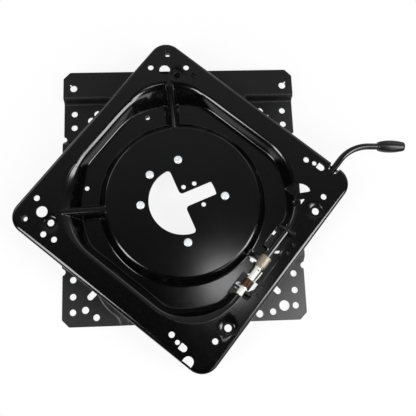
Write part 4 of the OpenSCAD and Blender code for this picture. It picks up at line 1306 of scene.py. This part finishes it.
class Finish(Enum):
    """The finishes of the seat base, each with the record's slot it belongs to."""

    # The base coat carries painted light towards its front right corner.
    BASE = ("base_coat", Coat("black_base_coat", 0.007, 0.38, painted_corner_light=0.09, shine=0.32))
    SEAT = ("seat_coat", Coat("black_seat_coat", 0.001, 0.14))
    BRACKET = ("bracket_coat", Coat("black_bracket_coat", 0.004, 0.3))
    ROD = ("rod_coat", Coat("black_rod_coat", 0.002, 0.15))
    NUT = ("dark_nut", Metal("nut_steel", (0.09, 0.09, 0.095), 0.4, 0.6, (0.03, 0.03, 0.03)))
    RIVET = ("rivet_steel", Metal("plated_rivet", (0.84, 0.88, 0.91), 0.36, 0.7, (0.6, 0.64, 0.68), 0.4, 0.4))
    SCREW = ("zinc", Metal("plated_screw", (0.84, 0.88, 0.91), 0.36, 0.7, (0.6, 0.64, 0.68), 0.4, 0.4))
    ZINC = ("zinc", Metal("bright_zinc", (0.84, 0.84, 0.79), 0.42, 0.6, (0.6, 0.59, 0.53), 0.4, 0.5))
    RING = ("ring_steel", Metal("ring_plate", (0.45, 0.45, 0.44), 0.42, 0.8, (0.25, 0.24, 0.22)))
    PAWL = ("pawl_metal", Metal("tan_sinter", (0.38, 0.335, 0.275), 0.58, 0.3, (0.17, 0.14, 0.12), 0.5))
    SPRING = ("spring_wire", Metal("copper_wire", (0.15, 0.085, 0.06), 0.38, 0.4, (0.05, 0.03, 0.02), 0.6))
    GLIDE = ("glide", Moulded("pale_moulding", (0.72, 0.70, 0.64), 0.4))
    GRIP = ("grip", Moulded("black_moulding", (0.005, 0.005, 0.0055), 0.34))

    @property
    def slot(self) -> str:
        """The record's material slot."""
        return self.value[0]

    def material(self) -> bpy.types.Material:
        """The material, built once."""
        return bpy.data.materials.get(self.value[1].name) or self.value[1].material()


def dress(piece: bpy.types.Object, finish: Finish, body: str, *nodes: str) -> bpy.types.Object:
    """Gives a piece its finish and its body, and lets it stand for CAD nodes.

    Args:
        piece: The piece.
        finish: What it is made of.
        body: The body it rides on.
        nodes: The CAD nodes it stands for.

    Returns:
        The piece.
    """
    piece.data.materials.clear()
    piece.data.materials.append(finish.material())
    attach(piece, body)
    if nodes:
        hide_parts(*nodes)
    LOG.info("%s: %d faces, stands for %s", piece.name, len(piece.data.polygons),
             ", ".join(nodes) or "nothing")
    return piece


# Pieces


def swept(name: str, path: Array, radius: float, finish: Finish, sides: int = 40) -> bpy.types.Object:
    """A round bar or wire along a path in the seat's axes."""
    tree = ShapeTree("bar_along_path", Radius=radius * MM, Sides=sides, Material=finish.material())
    line = tree.node("GeometryNodeMeshToCurve", Mesh=tree.given["Geometry"]).outputs[0]
    section = tree.node("GeometryNodeCurvePrimitiveCircle", Resolution=tree.given["Sides"],
                        Radius=tree.given["Radius"])
    bar = tree.node("GeometryNodeCurveToMesh", Curve=line, Profile_Curve=section.outputs[0], Fill_Caps=True)
    tree.end(bar.outputs[0])
    return tree.made(name, part_frame(path), [(i, i + 1) for i in range(len(path) - 1)])


@dataclass
class Bearing:
    """The swivel's rings under the disc and the five rivets that hold them."""

    rivet_circle: float = 61.8
    rivet_angles: tuple[float, ...] = (45.0, 90.0, 135.0, 225.0, 315.0)
    disc_z: float = 50.0
    head_r: float = 6.1
    head_h: float = 3.2
    tail_z: float = 35.95

    def rings(self) -> None:
        """Makes the four rings."""
        rows = (("spacer_band", "spacer_ring", (38.95, 47.0, 54.0, 72.0), Finish.RING, "seat"),
                ("clamp_band", "clamp_ring", (35.95, 38.95, 54.0, 92.0), Finish.RING, "seat"),
                ("upper_slide", "upper_glide", (44.0, 46.95, 76.0, 98.0), Finish.GLIDE, "base"))
        for name, node, sizes, finish, body in rows:
            dress(lathe(name, ring_profile(*sizes), (0, 0, 0), sides=144, ring=True), finish, body, node)
        collar = [(39.0, 72.4), (39.0, 89.6), (39.3, 90.0), (40.7, 90.0), (41.0, 89.6), (41.0, 75.2),
                  (41.3, 74.9),
                  (43.7, 74.9), (44.0, 74.6), (44.0, 72.4), (43.7, 72.06), (39.3, 72.06)]
        dress(lathe("lower_slide", collar, (0, 0, 0), sides=144, ring=True), Finish.GLIDE, "base",
              "lower_glide")

    def rivet(self) -> bpy.types.Object:
        """One rivet, with a domed head, a pressed centre and a spread tail."""
        r, top = self.head_r, self.disc_z + self.head_h
        tail = [(self.tail_z - 2.4, 0.0), (self.tail_z - 2.4, 3.6), (self.tail_z - 1.7, 5.3),
                (self.tail_z - 0.3, 6.0),
                (self.tail_z, 5.7), (self.tail_z, 4.0), (self.disc_z, 4.0)]
        head = [(self.disc_z, r - 0.2), (self.disc_z + 0.4, r), (self.disc_z + 0.9, r)]
        head += [(self.disc_z + 0.9 + (self.head_h - 0.9) * math.sin(a), 3.3 + (r - 3.3) * math.cos(a))
                 for a in np.radians([18, 36, 54, 72, 90])]
        head += [(top, 2.2), (top - 0.5, 1.7), (top - 0.5, 0.8), (top - 0.15, 0.45), (top - 0.1, 0.0)]
        return lathe("rivet_form", tail + head, (0, 0, 0), sides=48)

    def rivets(self) -> None:
        """Sets a rivet at each of the five places."""
        form = self.rivet()
        tree = ShapeTree("rivets_on_points", Form=form, Seed=4, Material=Finish.RIVET.material())
        shape = tree.node("GeometryNodeObjectInfo", Object=tree.given["Form"]).outputs["Geometry"]
        spin = tree.node("FunctionNodeRandomValue", {"data_type": "FLOAT"})
        tree.feed(spin.inputs[3], 2.0 * math.pi)
        tree.feed(spin.inputs["Seed"], tree.given["Seed"])
        euler = tree.node("ShaderNodeCombineXYZ", Z=spin.outputs[1]).outputs[0]
        turn = tree.node("FunctionNodeEulerToRotation", Euler=euler).outputs[0]
        set_out = tree.node("GeometryNodeInstanceOnPoints", Points=tree.given["Geometry"], Instance=shape,
                            Rotation=turn)
        tree.end(set_out.outputs[0])
        a = np.radians(self.rivet_angles)
        spots = np.stack([self.rivet_circle * np.cos(a), self.rivet_circle * np.sin(a), 0.0 * a], 1)
        piece = tree.made("rivet_set", part_frame(spots))
        bpy.data.objects.remove(form)
        dress(piece, Finish.RIVET, "seat", *(f"rivet_{i}" for i in range(1, 6)))

    def build(self) -> None:
        """Makes the bearing and its rivets."""
        self.rings()
        self.rivets()


@dataclass
class Lock:
    """The lock in the cut-out: brackets, pawl, stub shaft, spring, washer, screw, and the tip holes' nuts."""

    v: float = -145.0
    z: float = 53.0
    hub: tuple[float, float, float] = (-10.0, 9.5, 8.25)
    finger: tuple[float, float] = (-1.4, 6.4)
    stub: tuple[float, float, float] = (-58.4, 2.0, 5.0)
    coil: tuple[float, float, float] = (-45.0, -30.4, 6.05)
    wire: float = 0.9
    screw: tuple[float, float] = (-46.8, -136.8)

    def brackets(self) -> None:
        """Makes the two brackets from flat plates."""
        saddle = arc(self.v, self.z, 5.3, -30.0, -180.0, 16)
        left = [("bracket_left_flange",
                 Plate([[-49.5, -172], [-23.5, -172], [-23.5, -157.5], [-49.5, -157.5]], [], 59.0)),
                ("bracket_left_cheek",
                 Plate([[-157.5, 40], [-131, 40], [-131, 48], [-138, 50], *saddle, [-151, 55],
                                              [-152, 59], [-157.5, 59]], [], -48.2, "u")),
                ("bracket_left_tab",
                 Plate([[-62.5, -162], [-35, -162], [-35, -160], [-46, -153.4], [-28, -153.2],
                                            [-28, -146], [-26, -142.5], [-26, -131], [-62.5, -131]],
                                           [circle_line(*self.screw, 2.7)], 43.0))]
        tray = [[-28, -161], [24, -161], [25, -157.5], [60, -157.5], [60, -131], [49.5, -131], [49.5, -134.5],
                [43, -134.5], [43, -131], [22.5, -131], [22.5, -141], [25, -148.5], [31, -155.0],
                [26, -156.0],
                [22, -150], [-28, -150]]
        right = [("bracket_right_flange",
                  Plate([[24, -172], [59, -172], [59, -157.5], [24, -157.5]], [], 59.0)),
                 ("bracket_right_cheek",
                  Plate([[-157.5, 40], [-131, 40], [-131, 53], [-137, 59], [-157.5, 59]],
                                               [circle_line(self.v, self.z, 4.95)], 59.0, "u")),
                 ("bracket_right_tray", Plate(tray, [], 43.0)),
                 ("bracket_right_back", Plate([[36, 43], [56, 43], [56, 59], [36, 59]], [], -157.5, "v"))]
        for node, rows in (("bracket_left", left), ("bracket_right", right)):
            for number, (name, plate) in enumerate(rows):
                dress(plate.build(name), Finish.BRACKET, "seat", *([node] if number == 0 else []))

    def pawl(self) -> None:
        """Makes the hub and the finger that drops into the base plate's notches."""
        low, high, r = self.hub
        profile = [(low, 0.0), (low, r - 1.8), (low + 0.6, r - 1.2), (low + 2.2, r - 1.1),
                   (low + 2.6, r - 0.3),
                   (low + 3.0, r), (high - 0.7, r), (high, r - 0.7), (high, 0.0)]
        dress(lathe("pawl_hub", profile, (0, self.v, self.z), "u"), Finish.PAWL, "lever", "pawl")
        side = [[-148.5, 49.2], [-142.5, 58.0], [-130.4, 49.5], [-128.2, 45.0], [-122.7, 32], [-122.7, 25.6],
                [-127.5, 25.6], [-131.5, 36]]
        dress(bevelled(prism("pawl_finger", side[::-1], *self.finger, along="u"), 0.7), Finish.BRACKET,
              "lever")

    def shaft(self) -> None:
        """Makes the stub shaft with its cross hole, a black plug that paints shade into the hole, and its
        washer.
        """
        low, high, r = self.stub
        bar = lathe("stub", rod_profile(low, high, r, 0.8), (0, self.v, self.z), "u")
        at = (-14.4, self.v - 1.4, 0)
        hole = lathe("hole", rod_profile(50.0, 66.0, 1.5, 0.1), at, "z", 24)
        dress(carved(bar, hole), Finish.ZINC, "lever", "stub_shaft")
        # Painted shade: a black plug fills the cross hole so that the hole reads dark.
        dress(lathe("stub_pin", rod_profile(49.8, 56.2, 1.45, 0.4), at, "z", 24), Finish.BRACKET, "lever")
        washer = lathe("washer", ring_profile(-47.9, -46.3, 5.1, 7.5, 0.25), (0, self.v, self.z), "u",
                       ring=True)
        dress(washer, Finish.ZINC, "lever", "shaft_washer")

    def spring(self) -> None:
        """Makes the coil spring with a straight leg at each end."""
        low, high, r = self.coil
        turns = int((high - low) / (2.0 * self.wire + 0.06))
        a = np.linspace(0.0, 2.0 * math.pi * turns, turns * 28 + 1) - math.pi / 2.0
        u = np.linspace(low + self.wire, high - self.wire, len(a))
        body = np.stack([u, self.v - r * np.sin(a), self.z + r * np.cos(a)], 1)
        first = np.array([[low + self.wire - 0.6, -136.9, 47.4], [low + self.wire - 0.3, -138.2, 50.0]])
        path = np.concatenate([first, body])
        dress(swept("spring_coil", path, self.wire, Finish.SPRING, 10), Finish.SPRING, "seat",
              "return_spring")
        leg = np.array([[high - 1.0, self.v - 6.3, 53.0], [high + 1.4, self.v - 6.9, 53.4],
                        [-22.5, self.v - 7.6, 53.4],
                        [-13.0, self.v - 7.6, 53.2]])
        dress(swept("spring_leg", leg, 1.1, Finish.ZINC, 16), Finish.ZINC, "seat")

    def fixings(self) -> None:
        """Makes the screw and the two weld nuts."""
        u, v = self.screw
        profile = [(34.6, 0.0), (34.6, 2.0), (35.1, 2.5), (43.0, 2.5), (43.0, 4.7), (43.3, 5.2), (44.4, 5.2),
                   (45.2, 4.8),
                   (45.6, 3.7), (46.0, 2.3), (46.1, 0.0)]
        w, l = 0.45, 1.8
        cross = [[w, w], [w, l], [-w, l], [-w, w], [-l, w], [-l, -w], [-w, -w], [-w, -l], [w, -l], [w, -w],
                 [l, -w], [l, w]]
        recess = prism("recess", turned(np.array(cross), 0.5) + [u, v], 44.6, 47.0)
        dress(carved(lathe("screw", profile, (u, v, 0), "z", 48), recess), Finish.SCREW, "seat",
              "spring_screw")
        for side, name in ((-1, "left"), (1, "right")):
            x, y = side * 161.0, 156.9
            square = [[x - 7.5, y - 7.5], [x + 7.5, y - 7.5], [x + 7.5, y + 7.5], [x - 7.5, y + 7.5]]
            nut = Plate(square, [circle_line(x, y, 3.4, 40)], 59.0, thick=6.0)
            dress(nut.build(f"nut_{name}"), Finish.NUT, "seat", f"weld_nut_{name}")

    def build(self) -> None:
        """Makes all of the lock."""
        self.brackets()
        self.pawl()
        self.shaft()
        self.spring()
        self.fixings()


@dataclass
class Lever:
    """The bent rod and its barrel shaped grip."""

    v: float = -145.0
    z: float = 53.0
    rod_r: float = 4.75
    straight: float = 193.5
    bend_r: float = 56.0
    bend: float = 51.5
    grip_from: float = 13.5
    grip_long: float = 41.0
    grip_r: tuple[float, float] = (6.8, 9.2)

    def path(self) -> tuple[Array, Array]:
        """The rod's centre line, and the direction it ends in."""
        a = np.radians(np.linspace(90.0, 90.0 - self.bend, 40))
        curve = np.stack([self.straight + self.bend_r * np.cos(a),
                          self.v - self.bend_r + self.bend_r * np.sin(a)], 1)
        way = np.array([math.sin(a[-1]), -math.cos(a[-1])])
        flat = np.concatenate([[[3.0, self.v], [60.0, self.v], [130.0, self.v]], curve,
                               [curve[-1] + way * 42.0]])
        return np.concatenate([flat, np.full((len(flat), 1), self.z)], 1), np.append(way, 0.0)

    def grip(self, start: Array, way: Array) -> bpy.types.Object:
        """The grip, turned about the rod's tail."""
        r1, r2, long = self.grip_r[0], self.grip_r[1], self.grip_long
        shape = [(0.0, r1 - 1.4), (0.012, r1 - 0.5), (0.03, r1), (0.08, r1 + 0.26 * (r2 - r1)),
                 (0.15, r1 + 0.55 * (r2 - r1)),
                 (0.22, r1 + 0.76 * (r2 - r1)), (0.3, r1 + 0.91 * (r2 - r1)), (0.4, r2), (0.5, r2),
                 (0.6, r1 + 0.93 * (r2 - r1)),
                 (0.7, r1 + 0.76 * (r2 - r1)), (0.8, r1 + 0.5 * (r2 - r1)), (0.88, r1 + 0.24 * (r2 - r1)),
                 (0.95, r1 - 0.1),
                 (0.98, r1 - 0.7), (0.995, r1 - 1.8), (1.0, r1 - 3.2)]
        profile = [(0.0, 0.0), (0.0, self.rod_r + 0.2), *((t * long, r) for t, r in shape), (long, 0.0)]
        piece = lathe("grip", profile, (0, 0, 0), "u", 64)
        turn = Matrix.Rotation(math.atan2(way[1], way[0]) + 0.0, 4, "Z")
        at = part_frame(start)[0]
        piece.data.transform(Matrix.Translation(Vector(at)) @ turn)
        return piece

    def build(self) -> None:
        """Makes the rod and the grip."""
        path, way = self.path()
        dress(swept("lever_bar", path, self.rod_r, Finish.ROD, 48), Finish.ROD, "lever", "lever_rod")
        start = path[-2] + way * self.grip_from
        dress(self.grip(start, way), Finish.GRIP, "lever", "lever_grip")


# Studio


@dataclass
class Studio:
    """Camera, floor, world and soft lamps."""

    aim: tuple[float, float, float] = (17.644, 23.983, 3.0)
    azimuth: float = -12.1257
    elevation: float = 76.6637
    roll: float = -10.4001
    distance: float = 946.723
    focal_px: float = 615.991
    frame_px: float = 416.0
    centre_px: tuple[float, float] = (193.16, 191.548)
    ceiling: float = 0.0
    back_wall: float = 0.36
    side_walls: float = 0.06
    floor_r: float = 0.36
    floor_sides: int = 96
    floor_white: float = 0.86
    boxes: tuple[tuple[str, float, float, float, tuple[float, float], float], ...] = (
        ("box_right", -21.0, 42.0, 1.7, (0.42, 1.5), 12.0),
        ("box_left", 211.0, 42.0, 1.7, (0.42, 1.5), 12.0),
        ("box_front_right", -44.0, 26.0, 1.7, (0.9, 0.6), 3.0),
        ("box_back_left", 140.0, 24.0, 1.7, (0.9, 0.5), 2.4),
        ("box_back_right", 50.0, 24.0, 1.7, (0.9, 0.5), 1.2),
        ("box_above", 3.0, 82.4, 1.55, (0.15, 0.15), 9.0),
    )

    def camera(self) -> None:
        """Creates the camera at the photograph's place."""
        a, e, r = (math.radians(x) for x in (self.azimuth, self.elevation, self.roll))
        back = Vector((math.sin(a) * math.cos(e), -math.cos(a) * math.cos(e), math.sin(e)))
        right = (-back).cross(Vector((0, 0, 1))).normalized()
        down = (-back).cross(right)
        x = math.cos(r) * right + math.sin(r) * down
        y = math.sin(r) * right - math.cos(r) * down
        data = bpy.data.cameras.new("camera")
        data.lens = self.focal_px / self.frame_px * data.sensor_width
        data.shift_x = 0.5 - self.centre_px[0] / self.frame_px
        data.shift_y = self.centre_px[1] / self.frame_px - 0.5
        data.clip_start, data.clip_end = 0.05, 20.0
        seen_by = bpy.data.objects.new("camera", data)
        bpy.context.scene.collection.objects.link(seen_by)
        turn = Matrix((x, y, back)).transposed().to_4x4()
        seen_by.matrix_world = Matrix.Translation((Vector(self.aim) + back * self.distance) * MM) @ turn
        bpy.context.scene.camera = seen_by

    def floor(self) -> None:
        """A pale floor that shows white to the camera and in reflections, with a soft shadow."""
        mesh = bpy.data.meshes.new("floor")
        sides = self.floor_sides
        a = np.linspace(0.0, 2.0 * math.pi, sides, endpoint=False)
        rim = np.stack([self.floor_r * np.cos(a), self.floor_r * np.sin(a), np.zeros(sides)], 1)
        mesh.from_pydata(rim.tolist(), [], [tuple(range(sides))])
        floor = bpy.data.objects.new("floor", mesh)
        floor.location.z = -0.0005
        bpy.context.scene.collection.objects.link(floor)
        s = Shader("floor")
        s.finish(Base_Color=rgb(0.82, 0.82, 0.82), Roughness=0.9)
        path = s.node("ShaderNodeLightPath")
        seen = [Sum(s.tree, path.outputs[k])
                for k in ("Is Camera Ray", "Is Glossy Ray", "Is Transmission Ray")]
        white = s.node("ShaderNodeEmission", Color=rgb(1, 1, 1), Strength=1.0)
        away = s.node("ShaderNodeVectorMath", Vector=s.place)
        away.operation = "LENGTH"
        far = Sum(s.tree, away.outputs["Value"]).above(0.7 * self.floor_r, 0.97 * self.floor_r)
        plain = self.floor_white + far * (1.0 - self.floor_white)
        either = s.node("ShaderNodeMixShader", Fac=(seen[0] + seen[1] + seen[2]).clipped() * plain)
        s.tree.links.new(s.principled.outputs[0], either.inputs[1])
        s.tree.links.new(white.outputs[0], either.inputs[2])
        output = next(n for n in s.tree.nodes if n.type == "OUTPUT_MATERIAL")
        s.tree.links.new(either.outputs[0], output.inputs[0])
        floor.data.materials.append(s.material)

    def world(self) -> None:
        """A dark ceiling, a paler back wall and dim walls, white where the camera looks past the floor."""
        world = bpy.data.worlds.new("room")
        bpy.context.scene.world = world
        world.use_nodes = True
        tree = world.node_tree
        tree.nodes.clear()
        place = tree.nodes.new("ShaderNodeTexCoord")
        split = tree.nodes.new("ShaderNodeSeparateXYZ")
        tree.links.new(place.outputs["Generated"], split.inputs[0])
        ahead, height = Sum(tree, split.outputs[1]), Sum(tree, split.outputs[2])
        room = tree.nodes.new("ShaderNodeBackground")
        tint = tree.nodes.new("ShaderNodeCombineColor")
        level = self.ceiling + ahead.above(0.06, 0.42) * self.back_wall
        level = level + (1.0 - height.above(0.3, 0.7)) * self.side_walls
        for socket in tint.inputs:
            tree.links.new(level.socket, socket)
        tree.links.new(tint.outputs[0], room.inputs[0])
        white = tree.nodes.new("ShaderNodeBackground")
        path = tree.nodes.new("ShaderNodeLightPath")
        either = tree.nodes.new("ShaderNodeMixShader")
        output = tree.nodes.new("ShaderNodeOutputWorld")
        tree.links.new(path.outputs["Is Camera Ray"], either.inputs[0])
        tree.links.new(room.outputs[0], either.inputs[1])
        tree.links.new(white.outputs[0], either.inputs[2])
        tree.links.new(either.outputs[0], output.inputs[0])
        white.inputs[0].default_value = rgb(1, 1, 1)

    def lamp(self, name: str, bearing: float, height: float, far: float, size: tuple[float, float],
             level: float) -> None:
        """A soft box that faces the middle of the part.

        Args:
            name: Name of the lamp.
            bearing: Direction it stands in, in degrees from the x axis.
            height: Its height above the horizon as seen from the part, in degrees.
            far: Distance in metres.
            size: Width and height in metres.
            level: Brightness of its face, where 1 is white.
        """
        data = bpy.data.lights.new(name, "AREA")
        data.shape = "RECTANGLE"
        data.size, data.size_y = size
        data.energy = level * math.pi * size[0] * size[1]
        a, h = math.radians(bearing), math.radians(height)
        way = Vector((math.cos(a) * math.cos(h), math.sin(a) * math.cos(h), math.sin(h)))
        lamp = bpy.data.objects.new(name, data)
        lamp.location = way * far + Vector((0.0, 0.0, 0.04))
        lamp.rotation_euler = (-way).to_track_quat("-Z", "Y").to_euler()
        bpy.context.scene.collection.objects.link(lamp)

    def build(self) -> None:
        """Sets the whole studio up."""
        scene = bpy.context.scene
        scene.view_settings.view_transform = "Standard"
        self.camera()
        self.floor()
        self.world()
        for row in self.boxes:
            self.lamp(*row)


def main() -> None:
    """Builds the piece classes in order."""
    logging.basicConfig(level=logging.INFO, format="%(name)s %(message)s")
    dress(BasePlate().build("base_sheet"), Finish.BASE, "base", "base_plate")
    dress(SeatPlate().build("seat_sheet"), Finish.SEAT, "seat", "seat_plate")
    Bearing().build()
    Lock().build()
    Lever().build()
    Studio().build()


if __name__ == "__main__":
    main()
